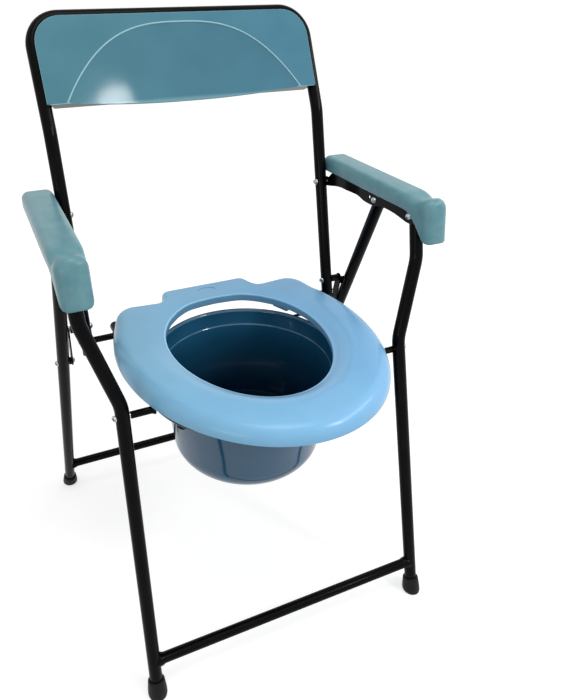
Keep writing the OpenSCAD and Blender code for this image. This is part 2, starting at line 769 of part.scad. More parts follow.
// Pan: revolved wall with a collar that stands on the rails
module pan() {
  z0 = d_pt[1] - rail_drop;
  low = z0 - pan_depth;
  rim = z0 + pan_collar;
  collar_r = pan_rim_r - 4;
  color(slate) chair() translate([0, seat_mid - pan_shift, 0]) rotate_extrude($fn = 128) difference() {
    union() {
      polygon([[0, low], [pan_low_r - pan_round, low], [pan_low_r, low + pan_round], [pan_top_r, z0],
        [collar_r, z0], [collar_r, rim - 3], [pan_rim_r, rim - 3], [pan_rim_r, rim], [0, rim]]);
      intersection() {
        translate([pan_low_r - pan_round, low + pan_round]) circle(r = pan_round);
        translate([0, low]) square([pan_low_r + 1, pan_round]);
      }
    }
    polygon([[-1, low + pan_wall], [pan_low_r - pan_round, low + pan_wall], [pan_low_r - pan_wall, low + pan_round],
      [pan_top_r - pan_wall, z0 + pan_wall], [collar_r - pan_wall, z0 + pan_wall], [collar_r - pan_wall, rim + 1], [-1, rim + 1]]);
    intersection() {
      translate([pan_low_r - pan_round, low + pan_round]) circle(r = pan_round - pan_wall);
      translate([0, low]) square([pan_low_r + 1, pan_round]);
    }
  }
}

front_leg_left();
front_leg_right();
front_cross_bar();
front_feet();
rear_leg_left();
rear_leg_right();
rear_cross_bar();
rear_feet();
arm_bracket_left();
arm_bracket_right();
armrest_left();
armrest_right();
arm_bolts();
back_tube();
back_panel();
back_bolts();
link_studs();
back_plugs();
link_left();
link_right();
link_bolts();
seat_hoop();
hoop_caps();
pivot_rods();
pivot_screws();
pan_rails();
seat();
pan();
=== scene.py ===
import json
import math
import bpy
import bmesh
from mathutils import Matrix, Vector


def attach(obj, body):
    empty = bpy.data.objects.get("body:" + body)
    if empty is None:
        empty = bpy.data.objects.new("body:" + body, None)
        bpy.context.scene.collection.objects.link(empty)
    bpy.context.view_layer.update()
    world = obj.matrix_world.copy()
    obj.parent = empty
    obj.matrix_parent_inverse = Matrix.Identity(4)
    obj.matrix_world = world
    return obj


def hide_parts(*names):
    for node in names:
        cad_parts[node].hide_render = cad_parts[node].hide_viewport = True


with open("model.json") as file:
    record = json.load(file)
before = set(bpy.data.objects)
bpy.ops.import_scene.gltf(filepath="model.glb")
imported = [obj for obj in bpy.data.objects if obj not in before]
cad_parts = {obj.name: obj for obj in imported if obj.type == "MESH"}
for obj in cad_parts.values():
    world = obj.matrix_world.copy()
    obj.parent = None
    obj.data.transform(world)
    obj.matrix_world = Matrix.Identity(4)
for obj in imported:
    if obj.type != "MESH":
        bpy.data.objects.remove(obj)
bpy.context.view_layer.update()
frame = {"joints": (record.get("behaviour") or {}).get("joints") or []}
print("frame loaded")

scene = bpy.context.scene
scene.view_settings.view_transform = "Standard"

# pivots of the fold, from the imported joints, and the lines that hang on them
sideView = {"lean": 13.5, "legLong": 0.637, "linkDrop": 0.170, "feetAhead": 0.233406}
pivots = {j["name"]: Vector(j["pos_m"]) for j in frame["joints"] if j.get("pos_m")}
armPivot, rearPivot, backPivot = pivots["fold"], pivots["rear_leg_turn"], pivots["back_turn"]
linkPivot, seatPivot = pivots["link_turn"], pivots["seat_turn"]
lean = math.radians(sideView["lean"])
legWay = Vector((0, math.sin(lean), math.cos(lean)))
footLine = armPivot - sideView["legLong"] * legWay  # floor under the front legs
hoopPivot = seatPivot + backPivot - armPivot
linkTop = backPivot - sideView["linkDrop"] * legWay
sideways, upright = Vector((1, 0, 0)), Vector((0, 0, 1))


# camera at the photograph's angle
shot = {"place": (-0.3274, -0.7569, 0.9052), "turn": -22.4, "height": 29.4, "roll": -0.8,
        "lens": 38.88, "shift": (0.1, -0.0319), "sensor": 36, "near": 0.05}


def addCamera():
    turn, height, roll = (math.radians(shot[k]) for k in ("turn", "height", "roll"))
    back = Vector((math.sin(turn) * math.cos(height), -math.cos(turn) * math.cos(height), math.sin(height)))
    right = (-back).cross(upright).normalized()
    top = right.cross(-back)
    rightRolled = right * math.cos(roll) + top * math.sin(roll)
    topRolled = top * math.cos(roll) - right * math.sin(roll)
    lens = bpy.data.cameras.new("photoCamera")
    lens.sensor_fit, lens.sensor_width = "HORIZONTAL", shot["sensor"]
    lens.lens = shot["lens"]
    lens.shift_x, lens.shift_y = shot["shift"]
    lens.clip_start = shot["near"]
    camera = bpy.data.objects.new("photoCamera", lens)
    scene.collection.objects.link(camera)
    camera.matrix_world = Matrix((rightRolled, topRolled, back)).transposed().to_4x4()
    camera.location = shot["place"]
    scene.camera = camera


addCamera()


# studio: white surroundings, plain lamps, floor that keeps the shadow near the chair
studio = {"ambient": 0.56, "floorSize": 12, "floorTone": 0.60, "floorGlow": (0.60, 0.72), "glowFrom": (0.62, 1.5),
          "aim": (0, 0, 0.45),
          "lamps": [("softBox", (1.45, -0.85, 1.62), (1.5, 0.24), 10),  # name, place, size, power
                    ("windowLamp", (1.235, -1.645, 1.88), (0.24, 0.56), 10),
                    ("sideLamp", (-1.75, -1.25, 0.75), (0.9, 0.25), 4),
                    ("topLamp", (0.0, -0.6, 2.6), (1.2, 1.0), 14)]}


def rangeOf(tree, value, fromEnds=(0, 1), toEnds=(0, 1)):
    ramp = tree.nodes.new("ShaderNodeMapRange")
    ramp.inputs["From Min"].default_value, ramp.inputs["From Max"].default_value = fromEnds
    ramp.inputs["To Min"].default_value, ramp.inputs["To Max"].default_value = toEnds
    tree.links.new(value, ramp.inputs["Value"])
    return ramp.outputs["Result"]


def mathOf(tree, operation, *values, clamp=False):
    maths = tree.nodes.new("ShaderNodeMath")
    maths.operation, maths.use_clamp = operation, clamp
    for socket, value in zip(maths.inputs, values):
        if isinstance(value, (int, float)):
            socket.default_value = value
        else:
            tree.links.new(value, socket)
    return maths.outputs[0]


def whiteRays(tree):
    rays = tree.nodes.new("ShaderNodeLightPath").outputs
    seen = mathOf(tree, "MAXIMUM", rays["Is Camera Ray"], rays["Is Glossy Ray"])
    return mathOf(tree, "MAXIMUM", seen, rays["Is Transmission Ray"])


def addStudio():
    world = bpy.data.worlds.new("whiteStudio")
    scene.world = world
    world.use_nodes = True
    tree = world.node_tree
    sky = tree.nodes["Background"]
    sky.inputs["Color"].default_value = (1, 1, 1, 1)
    strength = rangeOf(tree, whiteRays(tree), toEnds=(studio["ambient"], 1))
    tree.links.new(strength, sky.inputs["Strength"])
    for name, place, size, power in studio["lamps"]:
        lamp = bpy.data.lights.new(name, "AREA")
        lamp.shape, lamp.energy = "RECTANGLE", power
        lamp.size, lamp.size_y = size
        holder = bpy.data.objects.new(name, lamp)
        scene.collection.objects.link(holder)
        holder.location = place
        aim = Vector(studio["aim"]) - Vector(place)
        holder.rotation_euler = aim.to_track_quat("-Z", "Y").to_euler()
    bpy.ops.object.select_all(action="DESELECT")
    bpy.ops.mesh.primitive_plane_add(size=studio["floorSize"], location=(0, 0, 0))
    floor = bpy.context.object
    floor.name = "studioFloor"
    paper = bpy.data.materials.new("floorPaper")
    paper.use_nodes = True
    tree = paper.node_tree
    nodes, links = tree.nodes, tree.links
    nodes.remove(nodes["Principled BSDF"])
    matt, glow = nodes.new("ShaderNodeBsdfDiffuse"), nodes.new("ShaderNodeEmission")
    both = nodes.new("ShaderNodeAddShader")
    tone = studio["floorTone"]
    matt.inputs["Color"].default_value = (tone, tone, tone, 1)
    coords, away = nodes.new("ShaderNodeTexCoord"), nodes.new("ShaderNodeVectorMath")
    away.operation = "LENGTH"
    links.new(coords.outputs["Object"], away.inputs[0])
    rise = rangeOf(tree, away.outputs["Value"], studio["glowFrom"], studio["floorGlow"])
    links.new(mathOf(tree, "MULTIPLY", rise, whiteRays(tree)), glow.inputs["Strength"])
    links.new(matt.outputs[0], both.inputs[0])
    links.new(glow.outputs[0], both.inputs[1])
    links.new(both.outputs[0], nodes["Material Output"].inputs["Surface"])
    floor.data.materials.append(paper)


addStudio()
print("camera and studio set")


# finishes: two noise scales drive colour, roughness and bump, painted light tints the left and painted shade
# darkens the rear, and marks on the mesh paint highlights along rims and paint shade into depths
looks = {
    "frameBlack": {"dark": (0.0012, 0.0012, 0.0014), "light": (0.0030, 0.0030, 0.0034), "mottle": 30, "grain": 700,
                   "rough": (0.14, 0.24), "bump": 0.05, "ior": 1.15},
    "zincPlate": {"dark": (0.34, 0.35, 0.37), "light": (0.62, 0.63, 0.65), "mottle": 260, "grain": 1500,
                  "rough": (0.14, 0.3), "bump": 0.05, "metal": 1},
    "footRubber": {"dark": (0.003, 0.003, 0.003), "light": (0.009, 0.009, 0.0095), "mottle": 60, "grain": 1200,
                   "rough": (0.42, 0.6), "bump": 0.12, "ior": 1.25},
    "capPlastic": {"dark": (0.003, 0.003, 0.0035), "light": (0.008, 0.008, 0.009), "mottle": 60, "grain": 900,
                   "rough": (0.3, 0.45), "bump": 0.06, "ior": 1.25},
    "armTeal": {"dark": (0.102, 0.250, 0.290), "light": (0.138, 0.300, 0.338), "mottle": 55, "grain": 1300,
                "rough": (0.25, 0.37), "bump": 0.12, "ior": 1.37},
    # panel: painted light tints its left; edge is the colour of painted highlights, deep the colour of painted shade
    # on the lip
    "panelTeal": {"dark": (0.058, 0.186, 0.262), "light": (0.070, 0.212, 0.294), "mottle": 14, "grain": 420,
                  "rough": (0.06, 0.10), "bump": 0.012, "ior": 1.3, "paintedLeftLight": (1.12, 1.06, 0.96),
                  "edge": (0.36, 0.60, 0.66), "deep": (0.0, 0.060, 0.066)},
    # seat: painted light on its left, painted shade at its rear; edge paints highlights round the hole, deep paints
    # shade in the lip and crescent
    "seatBlue": {"dark": (0.198, 0.455, 0.760), "light": (0.220, 0.490, 0.808), "mottle": 12, "grain": 1500,
                 "rough": (0.18, 0.27), "bump": 0.05, "ior": 1.36, "paintedLeftLight": (1.06, 1.05, 0.92),
                 "paintedRearShade": (0.86, 0.85, 0.83), "edge": (0.36, 0.66, 0.93), "deep": (0.085, 0.225, 0.370)},
    # pan: edge paints highlights on the rim, deep paints shade that grows with depth inside
    "panSlate": {"dark": (0.010, 0.080, 0.160), "light": (0.015, 0.098, 0.190), "mottle": 10, "grain": 500,
                 "rough": (0.06, 0.12), "bump": 0.015, "ior": 1.5, "edge": (0.075, 0.190, 0.300),
                 "deep": (0.0006, 0.007, 0.022)},
}
# the listed tints paint light on the left, along X, and paint shade at the rear, along Y
surface = {"noiseSpan": (0.3, 0.7), "mottleDetail": 3, "grainDetail": 2, "grainShare": (0.5, 0.25),
           "reliefDeep": 0.0006, "paintedLightWashes": [("paintedLeftLight", "X", (0.2, -0.2)), ("paintedRearShade", "Y", (-0.26, -0.02))]}


def mixColours(tree, how, share, *colours):
    mix = tree.nodes.new("ShaderNodeMix")
    mix.data_type, mix.blend_type = "RGBA", how
    for side, colour in zip([s for s in mix.inputs if s.type == "RGBA"], colours):
        if isinstance(colour, tuple):
            side.default_value = (*colour, 1)
        else:
            tree.links.new(colour, side)
    tree.links.new(share, mix.inputs["Factor"])
    return [s for s in mix.outputs if s.type == "RGBA"][0]


def mixFinish(name):
    look = looks[name]
    finish = bpy.data.materials.new(name)
    finish.use_nodes = True
    tree = finish.node_tree
    nodes, links = tree.nodes, tree.links
    shader = nodes["Principled BSDF"]
    shader.inputs["Metallic"].default_value = look.get("metal", 0)
    shader.inputs["IOR"].default_value = look.get("ior", 1.45)
    coords = nodes.new("ShaderNodeTexCoord")
    mottle, grain = nodes.new("ShaderNodeTexNoise"), nodes.new("ShaderNodeTexNoise")
    for noise, kind in ((mottle, "mottle"), (grain, "grain")):
        noise.inputs["Scale"].default_value = look[kind]
        noise.inputs["Detail"].default_value = surface[kind + "Detail"]
        links.new(coords.outputs["Object"], noise.inputs["Vector"])
    spread = rangeOf(tree, mottle.outputs["Fac"], surface["noiseSpan"])
    colour = mixColours(tree, "MIX", spread, look["dark"], look["light"])
    # painted light on the left and painted shade at the rear, as tints over object coordinates
    for key, axis, ends in surface["paintedLightWashes"]:
        if key in look:
            place = nodes.new("ShaderNodeSeparateXYZ")
            links.new(coords.outputs["Object"], place.inputs[0])
            across = rangeOf(tree, place.outputs[axis], ends)
            colour = mixColours(tree, "MULTIPLY", across, colour, look[key])
    # the edge attribute paints highlights where it is positive and paints shade where it is negative
    for key, way in (("edge", 1), ("deep", -1)):
        if key in look:
            mark = nodes.new("ShaderNodeAttribute")
            mark.attribute_name = "edge"
            share = mathOf(tree, "MULTIPLY", mark.outputs["Fac"], way, clamp=True)
            colour = mixColours(tree, "MIX", share, colour, look[key])
    links.new(colour, shader.inputs["Base Color"])
    blend = mathOf(tree, "MULTIPLY_ADD", grain.outputs["Fac"], *surface["grainShare"])
    gloss = rangeOf(tree, blend, surface["noiseSpan"], look["rough"])
    links.new(gloss, shader.inputs["Roughness"])
    relief = nodes.new("ShaderNodeBump")
    relief.inputs["Strength"].default_value = look["bump"]
    relief.inputs["Distance"].default_value = surface["reliefDeep"]
    links.new(grain.outputs["Fac"], relief.inputs["Height"])
    links.new(relief.outputs["Normal"], shader.inputs["Normal"])
    return finish


finishes = {name: mixFinish(name) for name in looks}


def settle(piece, finish, body, *nodes):
    piece.data.materials.clear()
    piece.data.materials.append(finishes[finish])
    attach(piece, body)
    if nodes:
        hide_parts(*nodes)


print("finishes mixed")


# modelling helpers
def loftRings(name, rings, filled=True, smooth=35):
    bpy.ops.object.select_all(action="DESELECT")
    count = len(rings[0])
    fill = "NGON" if filled else "NOTHING"
    bpy.ops.mesh.primitive_circle_add(vertices=count, fill_type=fill, location=(0, 0, 0))
    piece = bpy.context.object
    piece.name = piece.data.name = name
    bpy.ops.object.mode_set(mode="EDIT")
    bpy.ops.mesh.select_all(action="SELECT")
    for row, ring in enumerate(rings):
        if row:
            bpy.ops.mesh.extrude_region_move()
        mesh = bmesh.from_edit_mesh(piece.data)
        mesh.verts.ensure_lookup_table()
        for vert, place in zip(mesh.verts[-count:], ring):
            vert.co = place
    bmesh.update_edit_mesh(piece.data)
    bpy.ops.mesh.select_all(action="SELECT")
    bpy.ops.mesh.remove_doubles(threshold=0.00002)
    bpy.ops.mesh.normals_make_consistent(inside=False)
    bpy.ops.object.mode_set(mode="OBJECT")
    bpy.ops.object.shade_smooth_by_angle(angle=math.radians(smooth))
    return piece


def bendPath(points, radii, step=6):
    path = [points[0]]
    for spot in range(1, len(points) - 1):
        corner = points[spot]
        back, ahead = (points[spot - 1] - corner).normalized(), (points[spot + 1] - corner).normalized()
        half = back.angle(ahead) / 2
        radius = radii[spot - 1]
        middle = corner + (back + ahead).normalized() * radius / math.sin(half)
        arm = corner + back * radius / math.tan(half) - middle
        turn = math.pi - 2 * half
        axis = (-back).cross(ahead).normalized()
        parts = max(2, math.ceil(math.degrees(turn) / step))
        for part in range(parts + 1):
            path.append(middle + Matrix.Rotation(turn * part / parts, 3, axis) @ arm)
    path.append(points[-1])
    return path


def circleRing(place, way, radius, sides, side=None):
    side = side or way.orthogonal().normalized()
    up = way.cross(side)
    return [place + radius * (side * math.cos(a) + up * math.sin(a))
            for a in (2 * math.pi * k / sides for k in range(sides))]


def tubeRings(path, radius, sides=28, softEnd=0.0008):
    rings = []
    side = None
    last = len(path) - 1
    for spot, place in enumerate(path):
        way = (path[min(spot + 1, last)] - path[max(spot - 1, 0)]).normalized()
        side = way.orthogonal().normalized() if side is None else (side - way * side.dot(way)).normalized()
        steps = [(0, radius)]
        if spot == 0:
            steps = [(0, radius - softEnd), (softEnd, radius)]
        elif spot == last:
            steps = [(-softEnd, radius), (0, radius - softEnd)]
        rings += [circleRing(place + way * along, way, reach, sides, side) for along, reach in steps]
    return rings


def turnedRings(place, way, profile, sides):
    side = way.orthogonal().normalized()
    return [circleRing(place + way * along, way, radius, sides, side) for along, radius in profile]


def pickOnly(*pieces):
    bpy.ops.object.select_all(action="DESELECT")
    for piece in pieces:
        piece.select_set(True)
    bpy.context.view_layer.objects.active = pieces[0]


def joinAll(name, pieces):
    pickOnly(*pieces)
    bpy.ops.object.join()
    pieces[0].name = pieces[0].data.name = name
    return pieces[0]


def copyPiece(piece, name):
    pickOnly(piece)
    bpy.ops.object.duplicate()
    twin = bpy.context.object
    twin.name = twin.data.name = name
    return twin


def mirrorPiece(piece, name):
    twin = copyPiece(piece, name)
    twin.scale.x = -1
    bpy.ops.object.transform_apply(location=False, rotation=False, scale=True)
    bpy.ops.object.mode_set(mode="EDIT")
    bpy.ops.mesh.select_all(action="SELECT")
    bpy.ops.mesh.normals_make_consistent(inside=False)
    bpy.ops.object.mode_set(mode="OBJECT")
    return twin


def settlePair(name, right, finish, body, node):  # one piece for each side
    left = mirrorPiece(right, name + "Left")
    settle(right, finish, body, node + "_right")
    settle(left, finish, body, node + "_left")


def settleBoth(name, right, finish, body, *nodes):  # both sides in one piece
    settle(joinAll(name, [right, mirrorPiece(right, name + "Left")]), finish, body, *nodes)


def cutAway(piece, cutter):
    pickOnly(piece)
    cut = piece.modifiers.new("cut", "BOOLEAN")
    cut.object, cut.operation, cut.solver = cutter, "DIFFERENCE", "EXACT"
    bpy.ops.object.modifier_apply(modifier="cut")
    bpy.data.objects.remove(cutter)
    bpy.ops.object.shade_smooth_by_angle(angle=math.radians(35))


def blockAt(low, high):
    bpy.ops.object.select_all(action="DESELECT")
    bpy.ops.mesh.primitive_cube_add(size=1, location=(0, 0, 0))
    block = bpy.context.object
    block.location = (Vector(low) + Vector(high)) / 2
    block.scale = Vector(high) - Vector(low)
    bpy.ops.object.transform_apply(location=True, rotation=False, scale=True)
    return block


def smoothCurve(points, parts):
    last = len(points) - 1
    curve = []
    for spot in range(last):
        p0, p1, p2, p3 = (Vector(points[min(max(spot + k, 0), last)]) for k in (-1, 0, 1, 2))
        for part in range(parts):
            t = part / parts
            curve.append(0.5 * (2 * p1 + (p2 - p0) * t + (2 * p0 - 5 * p1 + 4 * p2 - p3) * t * t
                                + (3 * p1 - p0 - 3 * p2 + p3) * t ** 3))
    return curve + [Vector(points[last])]


def quarterTurn(parts):
    return [math.pi / 2 * k / parts for k in range(parts + 1)]


def easeIn(t):
    t = min(max(t, 0), 1)
    return t * t * (3 - 2 * t)


# marks that paint highlights (positive) and shade (negative) into the colour
def markPaintedLight(piece, marks):
    shares = {tuple(round(v, 5) for v in place): mark for place, mark in marks}
    layer = piece.data.attributes.new("edge", "FLOAT", "POINT")
    for vert, value in zip(piece.data.vertices, layer.data):
        value.value = shares.get(tuple(round(v, 5) for v in vert.co), 0)


# front legs: knee below the seat, upper bend under the arm; the line is place sideways and length up the leg
frontLeg = {"tube": 0.0095, "bend": 0.060, "footUp": 0.009,
            "line": [(0.227, 0.010), (0.212, 0.458), (0.247, 0.575), (0.247, 0.645)]}


def legSpot(x, along):
    return footLine + Vector((x, 0, 0)) + along * legWay


def shinX(along):
    footX, (kneeX, kneeUp) = frontLeg["line"][0][0], frontLeg["line"][1]
    return footX + (kneeX - footX) * (along - frontLeg["footUp"]) / (kneeUp - frontLeg["footUp"])


def makeFrontLegs():
    points = [legSpot(x, along) for x, along in frontLeg["line"]]
    path = bendPath(points, [frontLeg["bend"]] * 2)
    right = loftRings("frontLegRight", tubeRings(path, frontLeg["tube"]))
    settlePair("frontLeg", right, "frameBlack", "front_frame", "front_leg")


# rear legs: straight tubes from the middle of the arms, splayed to the floor
rearLeg = {"tube": 0.0095, "topX": 0.247, "footX": 0.265, "footY": 0.503, "above": 0.008, "footUp": 0.009,
           "rows": (0.2, 0.4)}
rearTop = Vector((rearLeg["topX"], rearPivot.y, rearPivot.z))
rearFoot = Vector((rearLeg["footX"], rearLeg["footY"] - sideView["feetAhead"], 0))
rearWay = (rearFoot - rearTop).normalized()


def makeRearLegs():
    path = [rearTop - rearLeg["above"] * rearWay, *(rearTop + row * rearWay for row in rearLeg["rows"]),
            rearFoot - rearLeg["footUp"] * rearWay]
    right = loftRings("rearLegRight", tubeRings(path, rearLeg["tube"]))
    settlePair("rearLeg", right, "frameBlack", "rear_frame", "rear_leg")


# cross bars with a weld bead against each leg
crossBar = {"bar": 0.008, "bead": 0.0099, "beadLong": 0.0065, "intoLeg": 0.002, "legFace": 0.0092, "uneven": 0.03,
            "sides": 28, "frontHigh": 0.057, "rearHigh": 0.070}


def makeCrossBar(name, place, legX):
    bar, bead, wide = crossBar["bar"], crossBar["bead"], crossBar["beadLong"]
    face = legX - crossBar["legFace"]
    half = [(legX - crossBar["intoLeg"], bead), (face + 0.001, bead), (face - wide * 0.3, bead - 0.0004),
            (face - wide * 0.7, bar + 0.0006), (face - wide, bar), (legX * 0.5, bar), (0.0, bar)]
    profile = [(-x, r) for x, r in half] + [(x, r) for x, r in half[-2::-1]]
    rings = turnedRings(place, sideways, profile, crossBar["sides"])
    for row, (x, radius) in enumerate(profile):  # the bead is a little uneven
        if abs(radius - bar) > 0.0002:
            middle = place + sideways * x
            for spot, point in enumerate(rings[row]):
                swell = 1 + crossBar["uneven"] * math.sin(spot * 1.9 + row)
                rings[row][spot] = middle + (point - middle) * swell
    return loftRings(name, rings, smooth=50)


def makeCrossBars():
    along = crossBar["frontHigh"] / math.cos(lean)
    front = makeCrossBar("frontCrossBar", footLine + along * legWay, shinX(along))
    settle(front, "frameBlack", "front_frame", "front_cross_bar")
    spot = rearFoot.lerp(rearTop, crossBar["rearHigh"] / rearTop.z)
    rear = makeCrossBar("rearCrossBar", Vector((0, spot.y, spot.z)), spot.x)
    settle(rear, "frameBlack", "rear_frame", "rear_cross_bar")


# rubber feet: collar, widening skirt, rounded sole flat on the floor
# each row of the profile is height, radius and how far it lies level
foot = {"sides": 40, "profile": [(0.0, 0.0108, 1), (0.0005, 0.0124, 1), (0.0017, 0.0136, 1), (0.0038, 0.0142, 0.9),
                                 (0.0075, 0.0142, 0.6), (0.012, 0.0139, 0.25), (0.018, 0.0133, 0),
                                 (0.0235, 0.0127, 0), (0.0262, 0.0124, 0), (0.0274, 0.0118, 0),
                                 (0.0280, 0.0108, 0), (0.0280, 0.0096, 0), (0.0230, 0.0096, 0)]}


def makeFoot(name, floorSpot, way):
    side = way.cross(upright).normalized()
    rings = []
    for along, radius, level in foot["profile"]:
        middle = floorSpot + way * along
        ring = circleRing(middle, way, radius, foot["sides"], side)
        rings.append([p - way * (level * (p - middle).z / way.z) for p in ring])
    return loftRings(name, rings, smooth=40)


def makeFeet():
    start = legSpot(shinX(0), 0)
    front = makeFoot("frontFeet", start, (legSpot(*frontLeg["line"][1]) - start).normalized())
    settleBoth("frontFeet", front, "footRubber", "front_frame", "front_feet")
    rear = makeFoot("rearFeet", rearFoot, -rearWay)
    settleBoth("rearFeet", rear, "footRubber", "rear_frame", "rear_feet")


makeFrontLegs()
makeRearLegs()
makeCrossBars()
makeFeet()
print("legs, bars and feet made")


# arm brackets: pressed channel, wavy lower edge in mm, inner flange stepped in to the back tube
bracket = {"sheet": 0.002, "soft": 0.0004, "inner": 0.237, "outer": 0.25832, "ear": 0.2247, "stepFrom": 0.1249,
           "stepTo": 0.1529, "webFrom": -0.013, "webTo": 0.1139, "webTop": 0.0155, "webLap": 0.0005,
           "noseSlope": 0.8, "dropLong": 0.009, "under": (0.0115, 0.0256), "fallFrom": 0.193, "fallLong": 0.012,
           "earMid": 0.2106, "earRound": 0.0075, "holeAt": (0.0985, 0.0010), "holeRound": 0.0027,
           "low": [(-16, -3.0), (-14, -5.6), (-9, -8.4), (-4, -10.2), (0, -10.7), (6, -10.5), (12, -9.6), (20, -8.2),
                   (30, -6.7), (42, -5.6), (55, -5.1), (66, -5.6), (75, -7.3), (81, -8.8), (86, -9.6), (92, -9.9),
                   (102, -9.9), (112, -9.2), (122, -7.0), (132, -4.0), (146, -0.9), (160, 0.0), (172, -0.9),
                   (184, -2.9), (196, -5.6), (205, -7.1), (210.6, -7.5), (214, -6.7), (216.5, -4.6), (217.8, -2.0),
                   (218.1, -0.4)]}


def armSpot(x, along, up):
    return Vector((x, armPivot.y + along, armPivot.z + up))


def bracketTop(u):
    webTop, webTo, ear = bracket["webTop"], bracket["webTo"], bracket["earRound"]
    under = bracket["under"][0] + bracket["under"][1] * u
    if u < webTo:
        return webTop - max(0, bracket["webFrom"] - u) * bracket["noseSlope"]
    if u < webTo + bracket["dropLong"]:
        turn = math.pi * (u - webTo) / bracket["dropLong"]
        return webTop + (under - webTop) * (0.5 - 0.5 * math.cos(turn))
    if u < bracket["earMid"]:
        return under + (ear - under) * easeIn((u - bracket["fallFrom"]) / bracket["fallLong"])
    return math.sqrt(max(bracket["soft"] ** 2, ear ** 2 - (u - bracket["earMid"]) ** 2))


def plateRings(edge, faceAt):
    rings, sheet, soft = [], bracket["sheet"], bracket["soft"]
    for u, low in edge:
        x, high = faceAt(u), bracketTop(u)
        corners = [(x, low + soft), (x + soft, low), (x + sheet - soft, low), (x + sheet, low + soft),
                   (x + sheet, high - soft), (x + sheet - soft, high), (x + soft, high), (x, high - soft)]
        rings.append([armSpot(cx, u, cz) for cx, cz in corners])
    return rings


def innerFace(u):
    straight = bracket["inner"] - bracket["sheet"]
    step = easeIn((u - bracket["stepFrom"]) / (bracket["stepTo"] - bracket["stepFrom"]))
    return straight + (bracket["ear"] - straight) * step


def makeBrackets():
    edge = [(p.x / 1000, p.y / 1000) for p in smoothCurve(bracket["low"], 4)]
    inner = loftRings("armBracketRight", plateRings(edge, innerFace), smooth=30)
    outerEdge = [e for e in edge if e[0] < bracket["stepFrom"]]
    outer = loftRings("outerFlange", plateRings(outerEdge, lambda u: bracket["outer"]), smooth=30)
    lap, webTop = bracket["webLap"], bracket["webTop"]
    web = blockAt(armSpot(bracket["inner"] - lap, bracket["webFrom"], webTop - bracket["sheet"]),
                  armSpot(bracket["outer"] + lap, bracket["webTo"], webTop))
    bpy.ops.object.select_all(action="DESELECT")
    bpy.ops.mesh.primitive_cylinder_add(vertices=24, radius=bracket["holeRound"], depth=0.02,
                                        rotation=(0, math.pi / 2, 0),
                                        location=armSpot(bracket["inner"], *bracket["holeAt"]))
    cutAway(inner, bpy.context.object)
    right = joinAll("armBracketRight", [inner, outer, web])
    settlePair("armBracket", right, "frameBlack", "arms", "arm_bracket")


# armrests: rounded sections from the drooping nose to the rear end
# each row of the nose is along and up at its top, then at its bottom, in mm from the arm pivot
armrest = {"middle": 0.2473, "half": 0.0225, "noseHalf": 0.0190, "noseGrow": 60, "noseSofter": 0.004, "plan": 0.0150,
           "planRear": 0.0125, "rear": 0.2300, "topSoft": 0.0122, "lowSoft": 0.003,
           "topLine": (0.0325, 0.0342, 0.0178), "lowLine": (0.0102, 0.0256),
           "pocket": [(0.2347, -0.0163, -0.06), (0.26062, 0.1246, 0.0155)],
           "nose": [(-43.5, 24, -52.5, -23), (-42.8, 27.4, -52, -25.4), (-41, 30.4, -50.5, -26.4),
                    (-38.5, 32.3, -48.5, -26.6), (-35, 33.2, -45, -26), (-31, 33, -41, -23.6),
                    (-27, 31.6, -36.5, -18.6), (-22, 29.6, -31, -13), (-17, 28.2, -24.5, -6), (-11, 28, -17.5, 0),
                    (-5, 29, -10.5, 5), (1, 30.6, -3.5, 8.6), (8, 31.9, 5, 10.2), (15, 32.4, 14, 10.6),
                    (30, 32.9, 30, 11)],
           "tail": [60, 100, 140, 180, 206, 214, 217.5, 219.6, 221.4, 223, 224.5, 225.8, 226.9, 227.8, 228.6, 229.3,
                    229.8, 230]}


def armSection(top, low, half, topSoft, lowSoft):
    rise = top - low
    tall, way = rise.length, rise.normalized()
    topSoft, lowSoft = min(topSoft, half * 0.95, tall * 0.45), min(lowSoft, half * 0.95, tall * 0.3)
    upper = tall - topSoft
    line = []
    for x, h, r, start in ((half - topSoft, upper, topSoft, 0), (topSoft - half, upper, topSoft, 90),
                           (lowSoft - half, lowSoft, lowSoft, 180), (half - lowSoft, lowSoft, lowSoft, 270)):
        for part in range(8):
            a = math.radians(start + 90 * part / 7)
            line.append((x + r * math.cos(a), h + r * math.sin(a)))
    return [armSpot(armrest["middle"] + x, 0, 0) + low + way * h for x, h in line]


def roundIn(radius, depth):
    return radius - math.sqrt(max(0, radius ** 2 - max(0, radius - depth) ** 2))


def makeArmrests():
    soft, low, start = armrest["topSoft"], armrest["lowSoft"], armrest["nose"][0][0]
    rows = []
    for a, b, c, d in armrest["nose"]:
        rows.append((Vector((0, a / 1000, b / 1000)), Vector((0, c / 1000, d / 1000)), (a - start) / 1000,
                     min(1, (a - start) / armrest["noseGrow"])))
    (topAt, topSlope, topFrom), (lowAt, lowSlope) = armrest["topLine"], armrest["lowLine"]
    for u in (t / 1000 for t in armrest["tail"]):
        left = armrest["rear"] - u
        top = topAt + topSlope * (u - topFrom) - roundIn(soft, left)
        bottom = lowAt + lowSlope * u + roundIn(low, left)
        rows.append((Vector((0, u, top)), Vector((0, u, bottom)), left, 1))
    rings = []
    for top, bottom, depth, share in rows:
        plan = armrest["planRear"] if top.y > armrest["rear"] / 2 else armrest["plan"]
        half = armrest["noseHalf"] + (armrest["half"] - armrest["noseHalf"]) * share - roundIn(plan, depth)
        rings.append(armSection(top, bottom, half, soft + armrest["noseSofter"] * (1 - share), low))
    right = loftRings("armrestRight", rings, smooth=60)
    cutAway(right, blockAt(*(armSpot(*corner) for corner in armrest["pocket"])))
    settlePair("armrest", right, "armTeal", "arms", "armrest")


makeBrackets()
makeArmrests()
print("arms made")


